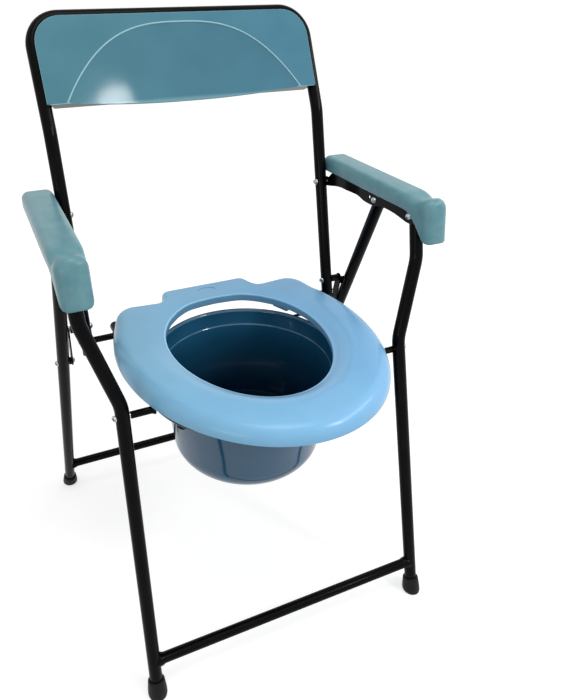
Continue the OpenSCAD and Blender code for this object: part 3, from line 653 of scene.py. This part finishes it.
# back loop and plugs
backLoop = {"half": 0.2147, "tube": 0.0095, "bendUp": 0.115, "bend": 12.4, "upper": 0.1579, "tail": 0.213,
            "bends": [0.080, 0.042, 0.042, 0.080],
            "plug": [(0.004, 0.0079), (0.0, 0.0079), (0.0, 0.0094), (-0.0014, 0.0092), (-0.0022, 0.0080),
                     (-0.0025, 0.0050)]}
upperLean = lean + math.radians(backLoop["bend"])
upperWay = Vector((0, math.sin(upperLean), math.cos(upperLean)))
upperFront = Vector((0, -math.cos(upperLean), math.sin(upperLean)))
backBend = backPivot + backLoop["bendUp"] * legWay


def backSpot(x, up, front):
    return backBend + Vector((x, 0, 0)) + up * upperWay + front * upperFront


def makeBackLoop():
    side = Vector((backLoop["half"], 0, 0))
    tail = backPivot - backLoop["tail"] * legWay
    top = backBend + backLoop["upper"] * upperWay
    points = [tail + side, backBend + side, top + side, top - side, backBend - side, tail - side]
    path = bendPath(points, backLoop["bends"])
    settle(loftRings("backLoop", tubeRings(path, backLoop["tube"])), "frameBlack", "back_frame", "back_tube")
    plug = loftRings("backPlugs", turnedRings(tail + side, legWay, backLoop["plug"], 28), smooth=50)
    settleBoth("backPlugs", plug, "capPlastic", "back_frame", "back_plugs")


# back panel: flat sheet with a ball-shaped hollow, a bead along its edge and a lip turned back below
panel = {"half": 0.2125, "low": 0.035, "top": 0.1555, "corner": 0.0398, "front": 0.01258, "sheet": 0.003,
         "soft": 0.0009, "hollowEdge": 0.210, "hollowMid": 0.1015, "hollowDepth": 0.028, "rim": 0.2116,
         "wave": 0.0037, "waveEnd": 60, "waveFade": 0.7, "bead": 0.0010, "beadWide": 0.0014, "backIn": 0.004,
         "lipBack": -0.0066, "lipHalf": 0.2015}


def hollowEdge(angle):
    end = math.radians(panel["waveEnd"])
    turn = min(abs(angle), end)
    return panel["rim"] - panel["wave"] * math.cos(6 * turn) * (1 - panel["waveFade"] * turn / end)


def panelReach(angle):
    centre = panel["low"] - panel["hollowMid"]
    s, c = math.sin(abs(angle)), math.cos(angle)
    far = (panel["top"] - centre) / c if c > 0.01 else 9
    if s > 0.01:
        far = min(far, panel["half"] / s)
    r = panel["corner"]
    midX, midY = panel["half"] - r, panel["top"] - r - centre
    if far * s > midX and far * c > midY:  # inside the rounded corner
        along = midX * s + midY * c
        far = along + math.sqrt(max(0, r * r - (midX * midX + midY * midY - along * along)))
    return far


def makePanel():
    edge, deep, mid = panel["hollowEdge"], panel["hollowDepth"], panel["hollowMid"]
    rise = (edge ** 2 - mid ** 2 - deep ** 2) / (2 * deep)
    ball = math.hypot(edge, rise)
    front, sheet, soft, bead, wide = (panel[k] for k in ("front", "sheet", "soft", "bead", "beadWide"))
    centre = panel["low"] - mid
    corner = math.atan2(panel["half"], mid)
    wedge = math.acos(mid / hollowEdge(math.pi / 2))  # where the hollow runs out at the lower edge
    columns = [-corner + 0.0005, corner - 0.0005] + [wedge * k / 60 for k in range(-60, 61)]
    columns += [s * (wedge + (corner - wedge) * k / 5) for s in (-1, 1) for k in (1, 2, 3, 4)]
    rings, marks = [], []
    for angle in sorted({round(a, 6) for a in columns}):
        start, far, rim = mid / math.cos(angle), panelReach(angle), hollowEdge(angle)
        stretch = edge / rim

        def frontAt(reach):
            return front if reach >= rim else front - (math.sqrt(ball ** 2 - (reach * stretch) ** 2) - rise)

        rim = max(start, rim)
        inner, outer = max(start, rim - wide), min(rim + wide, far)
        raised = bead if rim > start else 0
        hollow = [start + (inner - start) * k / 14 for k in range(15)]
        line = [(r, frontAt(r), 0) for r in hollow]  # reach, height over the tube plane, edge mark
        # marks 0.8 and 1 paint a highlight along the bead
        line += [(inner + (rim - inner) * 0.4, front + raised * 0.55, 0.8), (rim, front + raised, 1),
                 (rim + (outer - rim) * 0.5, front + raised * 0.6, 0.8), (outer, front, 0)]
        line += [(outer + (far - soft - outer) * k / 6, front, 0) for k in range(1, 7)]
        # marks 0.7 and 0.4 paint a highlight on the rounded outer edge
        line += [(far - soft * 0.3, front - soft * 0.3, 0.7), (far, front - soft, 0.4), (far, front - sheet, 0)]
        behind = (far - panel["backIn"], outer, rim, *hollow[::-1])
        back = [(max(start, min(r, far)), frontAt(r) - sheet, 0) for r in behind]
        under = back[-1][1]
        lip = min(under, panel["lipBack"]) if abs(start * math.sin(angle)) < panel["lipHalf"] else under
        inside = min(start + sheet, far)
        # marks -1 paint shade on the lip turned back below
        line += back[:-1] + [(inside, under, 0), (inside, lip, -1), (start, lip, -1),
                             (start, frontAt(start) - soft * 1.2, -1)]
        # the lower edge gets a painted highlight, full where the hollow runs out
        paintedHighlight = 1 if rim <= start else 0.4
        line[0] = (start, frontAt(start) - soft * 0.6, paintedHighlight)
        line.insert(1, (min(start + soft, inner), frontAt(start + soft), paintedHighlight))
        rings.append([backSpot(r * math.sin(angle), centre + r * math.cos(angle), out) for r, out, mark in line])
        marks += zip(rings[-1], [mark for r, out, mark in line])
    sheetPiece = loftRings("backPanel", rings, smooth=12)
    markPaintedLight(sheetPiece, marks)
    settle(sheetPiece, "panelTeal", "back_frame", "back_panel")


makeBackLoop()
makePanel()
print("back made")


# links: strap with a stop tab behind the rear leg
link = {"sheet": 0.0025, "soft": 0.0006, "face": 0.2411, "wide": 0.015, "stopHigh": 0.017, "stopX": 0.2536,
        "stopFrom": 0.0101, "lap": 0.001, "knob": [(0, 0.0047), (0.0018, 0.0046), (0.0024, 0.0040), (0.0025, 0.002)]}


def makeLinks():
    run = linkTop - linkPivot
    way, long = run.normalized(), run.length
    across = Vector((0, way.z, -way.y))
    half, outer, sheet, soft = link["wide"] / 2, link["face"], link["sheet"], link["soft"]
    turns = [math.pi * k / 14 for k in range(15)]
    outline = [Vector((long + half * math.sin(a), -half * math.cos(a))) for a in turns]
    outline += [Vector((half * -math.sin(a), half * math.cos(a))) for a in turns]

    def ringAt(x, inset):
        ring = []
        for p in outline:
            q = p - Vector((p.x - min(max(p.x, 0), long), p.y)).normalized() * inset
            ring.append(linkPivot + way * q.x + across * q.y + Vector((x, 0, 0)))
        return ring

    strap = loftRings("linkRight", [ringAt(outer - sheet, soft), ringAt(outer - sheet + 0.0005, 0),
                                    ringAt(outer - 0.0005, 0), ringAt(outer, soft)], smooth=30)
    behind = Vector((0, -rearWay.z, rearWay.y)).normalized()
    up = Vector((0, -rearWay.y, -rearWay.z)).normalized()
    base, end, near = long - link["stopHigh"], link["stopX"], link["stopFrom"]
    start, far = outer - link["lap"], near + sheet
    rings = []
    for along, inset in ((base, soft), (base + soft, 0), (long - 0.003, 0), (long, 0.002)):
        corners = [(start, near), (end - inset, near), (end, near + soft), (end, far - soft), (end - inset, far),
                   (start, far)]
        rings.append([linkPivot + up * along + behind * b + Vector((x, 0, 0)) for x, b in corners])
    tab = loftRings("stopTab", rings, smooth=30)
    knobSpot = linkTop + Vector((outer - 0.0005, 0, 0))
    knob = loftRings("linkKnob", turnedRings(knobSpot, sideways, link["knob"], 24))
    settlePair("link", joinAll("linkRight", [strap, tab, knob]), "frameBlack", "links", "link")


# screws: one head with a cross recess, copied to every pivot
screw = {"profile": [(0, 0.0047), (0.0006, 0.00475), (0.0013, 0.0045), (0.0019, 0.0037), (0.0023, 0.0025),
                     (0.0024, 0.0012)],
         "slotLong": 0.0062, "slotWide": 0.0015, "slotDeep": 0.0016, "cutTo": 0.004, "tilt": 0.6, "shank": 0.003,
         "soft": 0.0003, "backFace": 0.2270, "linkFace": 0.2631, "seatEnds": (0.1852, 0.2225),
         "hoopEnds": (0.1879, 0.2245), "collar": 0.006, "collarEnd": 0.2443}


def makeScrewHead():
    rings = turnedRings(Vector((0, 0, 0)), upright, screw["profile"], 32)
    head = loftRings("screwHead", rings, smooth=40)
    long, wide = screw["slotLong"] / 2, screw["slotWide"] / 2
    floor = screw["profile"][-1][0] - screw["slotDeep"]
    for x, y in ((long, wide), (wide, long)):
        cutAway(head, blockAt((-x, -y, floor), (x, y, screw["cutTo"])))
    return head


def placeHead(head, x, pivot, outward):
    twin = copyPiece(head, "head")
    twin.rotation_euler = (screw["tilt"], math.pi / 2 * outward, 0)
    twin.location = (x, pivot.y, pivot.z)
    bpy.ops.object.transform_apply(location=True, rotation=True, scale=True)
    return twin


def shank(x0, x1, pivot, radius):
    long, soft = x1 - x0, screw["soft"]
    profile = [(0, radius - soft), (soft, radius), (long - soft, radius), (long, radius - soft)]
    return loftRings("shank", turnedRings(Vector((x0, pivot.y, pivot.z)), sideways, profile, 24))


def makeScrews():
    head = makeScrewHead()
    inX, outX = bracket["inner"] - bracket["sheet"], bracket["outer"] + bracket["sheet"]
    loopIn, loopOut = backLoop["half"] - backLoop["tube"], backLoop["half"] + backLoop["tube"]
    strapIn = link["face"] - link["sheet"]
    washer, linkX, backX = strapIn - 0.0003, screw["linkFace"], screw["backFace"]
    (seatIn, seatX), (hoopIn, hoopX) = screw["seatEnds"], screw["hoopEnds"]
    sets = {  # body, node, heads, shanks
        "armBolts": ("arms", "arm_bolts",
                     [(inX, armPivot, -1), (outX, armPivot, 1), (inX, rearPivot, -1), (outX, rearPivot, 1)],
                     [(inX, outX, armPivot), (inX, outX, rearPivot)]),
        "backBolts": ("back_frame", "back_bolts", [(loopIn, backPivot, -1), (backX, backPivot, 1)],
                      [(loopIn, backX, backPivot)]),
        "linkStuds": ("back_frame", "link_studs", [(loopIn, linkTop, -1)], [(loopIn, strapIn - 0.0005, linkTop)]),
        "linkBolts": ("rear_frame", "link_bolts", [(washer, linkPivot, -1), (linkX, linkPivot, 1)],
                      [(washer, linkX, linkPivot)]),
        "seatScrews": ("seat_frame", "pivot_screws", [(seatX, seatPivot, 1), (hoopX, hoopPivot, 1)],
                       [(seatIn, seatX, seatPivot), (hoopIn, hoopX, hoopPivot)]),
    }
    for name, (body, node, heads, shanks) in sets.items():
        pieces = [placeHead(head, *spot) for spot in heads]
        pieces += [shank(*ends, screw["shank"]) for ends in shanks]
        settleBoth(name, joinAll(name, pieces), "zincPlate", body, node)
    bpy.data.objects.remove(head)
    collars = {"studCollars": ("back_frame", loopOut - 0.0008, strapIn - 0.0015, linkTop),
               "boltCollars": ("rear_frame", link["face"] + 0.0002, screw["collarEnd"], linkPivot)}
    for name, (body, *ends) in collars.items():
        settleBoth(name, shank(*ends, screw["collar"]), "frameBlack", body)


makeLinks()
makeScrews()
print("links and screws made")


# seat hoop, caps, pivot rods and pan rails
hoop = {"half": 0.163, "tube": 0.008, "corner": 0.125, "front": 0.097, "tail": 0.030,
        "dome": [(-0.006, 0.0064), (0, 0.0064), (0, 0.0079), (0.0016, 0.0079), (0.0040, 0.0070), (0.0060, 0.0052),
                 (0.0074, 0.0028), (0.0079, 0.0010)],
        "rod": 0.005, "seatRodEnd": 0.2022, "hoopRodEnd": 0.2049, "rail": 0.0025, "railX": 0.1345, "railTop": -0.006,
        "railLow": -0.0206, "railFront": -0.027, "railRear": 0.188, "railEnds": (0.1472, 0.160),
        "railBends": [0.008, 0.004, 0.004, 0.008]}


def seatSpot(x, y, z):
    return seatPivot + Vector((x, y, z))


def makeHoop():
    half, front, rear = hoop["half"], -hoop["front"], hoopPivot.y - seatPivot.y + hoop["tail"]
    points = [seatSpot(x, y, 0) for x, y in ((half, rear), (half, front), (-half, front), (-half, rear))]
    path = bendPath(points, [hoop["corner"]] * 2, 4)
    settle(loftRings("seatHoop", tubeRings(path, hoop["tube"])), "frameBlack", "seat_frame", "seat_hoop")
    rings = turnedRings(seatSpot(half, rear, 0), Vector((0, 1, 0)), hoop["dome"], 28)
    settleBoth("hoopCaps", loftRings("hoopCaps", rings, smooth=50), "capPlastic", "seat_frame", "hoop_caps")
    rods, rod, start = [], hoop["rod"], half + hoop["tube"] * 0.8
    for pivot, end in ((seatPivot, hoop["seatRodEnd"]), (hoopPivot, hoop["hoopRodEnd"])):
        long = end - start
        profile = [(0, rod + 0.0018), (0.0022, rod + 0.0014), (0.0040, rod + 0.0004), (0.0055, rod),
                   (long - 0.0006, rod), (long, rod - 0.0006)]  # weld first, then the rod
        rings = turnedRings(Vector((start, pivot.y, pivot.z)), sideways, profile, 24)
        rods.append(loftRings("rod", rings, smooth=50))
    settleBoth("pivotRods", joinAll("pivotRods", rods), "frameBlack", "seat_frame", "pivot_rods")
    top, low, inX = hoop["railTop"], hoop["railLow"], hoop["railX"]
    front, rear, (nearX, farX) = hoop["railFront"], hoop["railRear"], hoop["railEnds"]
    points = [seatSpot(*spot) for spot in ((nearX, front, top), (nearX, front, low), (inX, front, low),
                                           (inX, rear, low), (farX, rear, low), (farX, rear, top))]
    wire = tubeRings(bendPath(points, hoop["railBends"], 12), hoop["rail"], 16, 0.0003)
    settleBoth("panRails", loftRings("panRails", wire), "frameBlack", "seat_frame", "pan_rails")


# seat: oval shell with a hole, rounded rear corners and a tab at the back
seat = {"half": 0.192, "front": 0.247, "mid": 0.195, "rear": 0.145, "dip": 0.004, "rise": 0.0335, "deep": 0.024,
        "wall": 0.004, "corner": 0.036, "edge": 0.022, "soft": 0.0006, "tabHalf": 0.085, "tabLong": 0.033,
        "tabCorner": 0.014, "tabSlope": 0.012, "tabFillet": 0.012, "tabEdge": 0.008, "tabDeep": 0.014,
        "tabBlend": 0.045, "holeHalf": 0.1168, "holeLong": 0.143, "holeShift": 0.017, "holeDrop": 0.0115,
        "holeEgg": 0.08, "holeFlat": 0.136, "flatBlend": 0.006, "flatIn": 0.0015, "holeSoft": 0.003,
        "slope": 0.034, "slopeCurve": 1.8, "lip": 0.009, "lipRear": 0.004, "lipSoft": 0.001, "lipShade": -0.45,
        "clipIn": 0.040}


def arcSpot(middle, radius, angle):
    return middle + radius * Vector((math.cos(angle), math.sin(angle)))


def cornerArc(a, b, c, radius, parts):
    u, w = (a - b).normalized(), (c - b).normalized()
    half = u.angle(w) / 2
    middle = b + (u + w).normalized() * radius / math.sin(half)
    first, last = b + u * radius / math.tan(half) - middle, b + w * radius / math.tan(half) - middle
    a0, a1 = math.atan2(first.y, first.x), math.atan2(last.y, last.x)
    turn = (a1 - a0 + math.pi) % (2 * math.pi) - math.pi
    return [arcSpot(middle, radius, a0 + turn * k / parts) for k in range(parts + 1)]


def seatOutline():
    w, l, r, rear = seat["half"], seat["front"], seat["corner"], seat["rear"]

    def oval(t):
        return Vector((w * math.sin(t), -l * math.cos(t)))

    def outward(t):
        return Vector((l * math.sin(t), -w * math.cos(t))).normalized()

    low, high = math.radians(80), math.radians(160)
    for step in range(40):
        t = (low + high) / 2
        low, high = (t, high) if (oval(t) - r * outward(t)).y < rear - r else (low, t)
    middle = oval(t) - r * outward(t)
    start = math.atan2(outward(t).y, outward(t).x)
    half = [oval(t * k / 56) for k in range(56)]
    half += [arcSpot(middle, r, start + (math.pi / 2 - start) * k / 14) for k in range(15)]
    tab = Vector((seat["tabHalf"], rear - seat["dip"]))
    top = Vector((seat["tabHalf"] - seat["tabSlope"], rear + seat["tabLong"]))
    half += cornerArc(Vector((middle.x, rear)), tab, top, seat["tabFillet"], 8)
    half += cornerArc(tab, top, Vector((0, top.y)), seat["tabCorner"], 8)
    half += [Vector((seat["tabHalf"] * k, top.y)) for k in (0.6, 0.4, 0.2)]
    return half + [Vector((0, top.y))] + [Vector((-p.x, p.y)) for p in half[:0:-1]]


def makeSeat():
    rim = seatOutline()
    count = len(rim)
    hole, midY = Vector((0, -seat["holeShift"])), seat["mid"] - sideView["feetAhead"]
    topZ, wall, soft = seatPivot.z + seat["rise"], seat["wall"], seat["holeSoft"]
    rings, marks = [], []
    for spot in [*range(count), 0]:
        p = rim[spot]
        run = (rim[(spot + 1) % count] - rim[spot - 1]).normalized()
        n = Vector((-run.y, run.x))
        tab = min(1, max(0, (p.y - seat["rear"]) / seat["tabBlend"] + 1))
        v = p - hole
        q = v / math.hypot(v.x / seat["holeHalf"], v.y / seat["holeLong"])
        near = max(0, 1 - abs(q.y - seat["holeFlat"]) / seat["flatBlend"])
        q.y = min(q.y, seat["holeFlat"]) - seat["flatIn"] * near * near  # straight rear edge
        q = hole + Vector((q.x * (1 + seat["holeEgg"] * q.y / seat["holeLong"]), q.y))
        m = (q - hole).normalized()
        r = seat["edge"] + (seat["tabEdge"] - seat["edge"]) * tab
        low = topZ - seat["deep"] + (seat["deep"] - seat["tabDeep"]) * tab
        ring = [(p + n * seat["soft"], low), (p, low + seat["soft"])]
        ring += [(p + n * r * (1 - math.cos(a)), topZ - r + r * math.sin(a)) for a in quarterTurn(10)]
        drop = seat["holeDrop"] * math.sqrt((1 - m.y) / 2)
        start, crest = p + n * r, q + m * seat["slope"]
        ring += [(start.lerp(crest, k / 4), topZ) for k in range(1, 4)]
        ring += [(crest.lerp(q + m * soft, k / 8), topZ - drop * (k / 8) ** seat["slopeCurve"]) for k in range(9)]
        edge, paintedHighlight, inner = topZ - drop, len(ring), r - wall
        ring += [(q + m * soft * (1 - math.sin(a)), edge - soft * (1 - math.cos(a))) for a in quarterTurn(6)[1:]]
        lip = edge - seat["lip"] - seat["lipRear"] * (1 + m.y) / 2
        ring += [(q, lip + seat["lipSoft"]), (q + m * seat["lipSoft"], lip), (q + m * wall, lip),
                 (q + m * wall, edge - wall), (q + m * 0.018, topZ - wall - drop * 0.30), (crest, topZ - wall)]
        ring += [(p + n * (r - inner * math.cos(a)), topZ - r + inner * math.sin(a)) for a in quarterTurn(8)[::-1]]
        ring += [(p + n * wall, low)]
        rings.append([Vector((s.x, s.y + midY, z)) for s, z in ring])
        highlightShare = 0.65 - 0.35 * m.x  # painted highlight along the hole's edge, strongest on its left
        # the hole's lower rim and its lip get painted shade
        marks += zip(rings[-1][paintedHighlight:], (0.7 * highlightShare, highlightShare, 0.5 * highlightShare, 0, *[seat["lipShade"]] * 4))
    shell = loftRings("seat", rings, filled=False, smooth=40)
    markPaintedLight(shell, marks)
    clip = makeClip(topZ)
    clips = []
    for x, turn in ((-hoop["half"], math.pi), (hoop["half"], 0)):
        for y in (seatPivot.y + seat["clipIn"], hoopPivot.y - seat["clipIn"]):
            twin = copyPiece(clip, "clip")
            twin.location = (x, y, 0)
            twin.rotation_euler.z = turn
            bpy.ops.object.transform_apply(location=True, rotation=True, scale=False)
            clips.append(twin)
    bpy.data.objects.remove(clip)
    pads = [makePad(topZ)]
    pads.append(mirrorPiece(pads[0], "padLeft"))
    mark = makeCrescent(topZ)
    settle(joinAll("seat", [shell, mark] + clips + pads), "seatBlue", "seat_frame", "seat")


# pads under the rear of the seat
pad = {"place": (0.1045, 0.046, 0), "way": (0.357, -0.934, 0), "halfLong": 0.0155, "halfThick": 0.003, "low": -0.0262,
       "high": -0.0035, "soft": 0.0012, "softLong": 0.001}


def makePad(topZ):
    place, way = Vector(pad["place"]), Vector(pad["way"])
    side = Vector((-way.y, way.x, 0))
    thick, end, full = pad["halfThick"], pad["halfLong"], pad["halfLong"] - pad["softLong"]
    rings = []
    for along, soft in ((-end, pad["soft"]), (-full, 0), (full, 0), (end, pad["soft"])):
        low, high = pad["low"] + soft, pad["high"]
        corners = [(-thick, low), (thick, low), (thick, high), (-thick, high)]
        rings.append([place + way * along + side * u + Vector((0, 0, topZ + v)) for u, v in corners])
    return loftRings("pad", rings, smooth=30)


# crescent mark on the tab, darkened with painted shade, its arch in mm
crescent = {"arch": [(0, 0), (1.8, 2.6), (4.8, 4.7), (9.6, 6.3), (15.2, 6.7), (22.2, 5.4), (27.0, 2.4), (29.2, -0.9),
                     (29.8, -4.4)],
            "x": -0.0173, "y": 0.1134, "up": 0.0001, "radius": 0.0006, "mark": -0.7}


def makeCrescent(topZ):
    path = [Vector((x / 1000 + crescent["x"], y / 1000 + crescent["y"], topZ + crescent["up"]))
            for x, y in smoothCurve(crescent["arch"], 3)]
    mark = loftRings("crescent", tubeRings(path, crescent["radius"], 10, 0.0003), smooth=40)
    # painted shade darkens the whole crescent
    markPaintedLight(mark, [(vert.co, crescent["mark"]) for vert in mark.data.vertices])
    return mark


# clips that hold the seat on its hoop
hoopClip = {"half": 0.0104, "halfLong": 0.009, "below": 0.009, "under": 0.0035, "gap": 0.0001, "soft": 0.001,
            "mouth": 0.0068, "throat": 0.0064, "throatUp": 0.002, "grip": (50, 260)}


def makeClip(topZ):
    r, z, w, soft = hoop["tube"] + hoopClip["gap"], seatPivot.z, hoopClip["half"], hoopClip["soft"]
    low, high = topZ - seat["deep"] - hoopClip["below"], topZ - hoopClip["under"]
    mouth, throat, up = hoopClip["mouth"], hoopClip["throat"], low + hoopClip["throatUp"]
    start, turn = hoopClip["grip"]
    outline = [(w, low + soft), (w, high - 0.0050), (0.0, high - 0.0008), (-w, high), (-w, low + soft),
               (-w + soft, low), (-mouth, low), (-throat, up)]
    for angle in (math.radians(start + turn * k / 16) for k in range(17)):
        outline.append((-r * math.sin(angle), z - r * math.cos(angle)))
    outline += [(throat, up), (mouth, low), (w - soft, low)]
    ends = (-hoopClip["halfLong"], hoopClip["halfLong"])
    return loftRings("clip", [[Vector((x, y, h)) for x, h in outline] for y in ends], smooth=30)


# pan: turned wall, rounded foot, collar that stands on the rails and a rolled rim
pan = {"mid": 0.190, "drop": 0.018, "deep": 0.166, "collarHigh": 0.017, "low": 0.117, "round": 0.042, "top": 0.131,
       "rim": 0.141, "roll": 0.004, "wall": 0.0025, "soft": 0.0012, "stepDown": 0.0075, "pole": 0.002, "sides": 112,
       "paintedShadeFrom": 0.004, "paintedShadeDeep": 0.120, "paintedShadeMiddle": 0.1, "rimHighlights": [0.8, 0.8, 0, 0, 1, 1]}


def makePan():
    z0 = seatPivot.z - pan["drop"]
    low, rimZ, step = z0 - pan["deep"], z0 + pan["collarHigh"], z0 - pan["stepDown"]
    r, rd, top, rim, wall, soft = (pan[k] for k in ("low", "round", "top", "rim", "wall", "soft"))
    bend, collar = low + rd, rim - pan["roll"]
    face, throat = top - wall, collar - wall
    inside = [(pan["pole"], low + wall)]
    inside += [(r - rd + (rd - wall) * math.sin(a), bend - (rd - wall) * math.cos(a)) for a in quarterTurn(12)]
    inside += [(r - wall + (top - soft - r) * k / 5, bend + (step - 0.001 - bend) * k / 5) for k in range(1, 6)]
    inside += [(face - 0.0008, step), (face - 0.0002, step + 0.0006), (face + 0.0002, step + 0.0016),
               (throat - 0.0004, rimZ - 0.004), (throat, rimZ - soft), (throat + soft, rimZ)]
    outside = [(rim - soft, rimZ), (rim, rimZ - soft), (rim, rimZ - 0.0026), (rim - 0.0006, rimZ - 0.003),
               (collar + 0.0006, rimZ - 0.003), (collar, rimZ - 0.0036), (collar, z0 + 0.0008),
               (collar - 0.0008, z0), (top + 0.0008, z0), (top - 0.0001, z0 - 0.0008)]
    outside += [(top + (r - top) * k / 5, z0 + (bend - z0) * k / 5) for k in range(1, 5)]
    outside += [(r - rd + rd * math.cos(a), bend - rd * math.sin(a)) for a in quarterTurn(12)]
    outside += [(pan["pole"], low)]
    middle = Vector((0, pan["mid"] - sideView["feetAhead"], 0))
    rings = [circleRing(middle + upright * z, upright, radius, pan["sides"], sideways)
             for radius, z in inside + outside]
    bowl = loftRings("pan", rings, smooth=40)
    shares = []
    for radius, z in inside:  # painted shade, darker with depth, most of all round the foot
        depth = min(1, max(0, (z0 - pan["paintedShadeFrom"] - z) / pan["paintedShadeDeep"]))
        shares.append(-depth * (pan["paintedShadeMiddle"] + (1 - pan["paintedShadeMiddle"]) * (radius / r) ** 2))
    # the rim's rows get painted highlights
    shares[-6:] = pan["rimHighlights"]
    shares += [1] + [0] * (len(outside) - 1)
    markPaintedLight(bowl, [(place, share) for ring, share in zip(rings, shares) for place in ring])
    settle(bowl, "panSlate", "pan", "pan")


makeHoop()
makeSeat()
makePan()
print("seat and pan made")
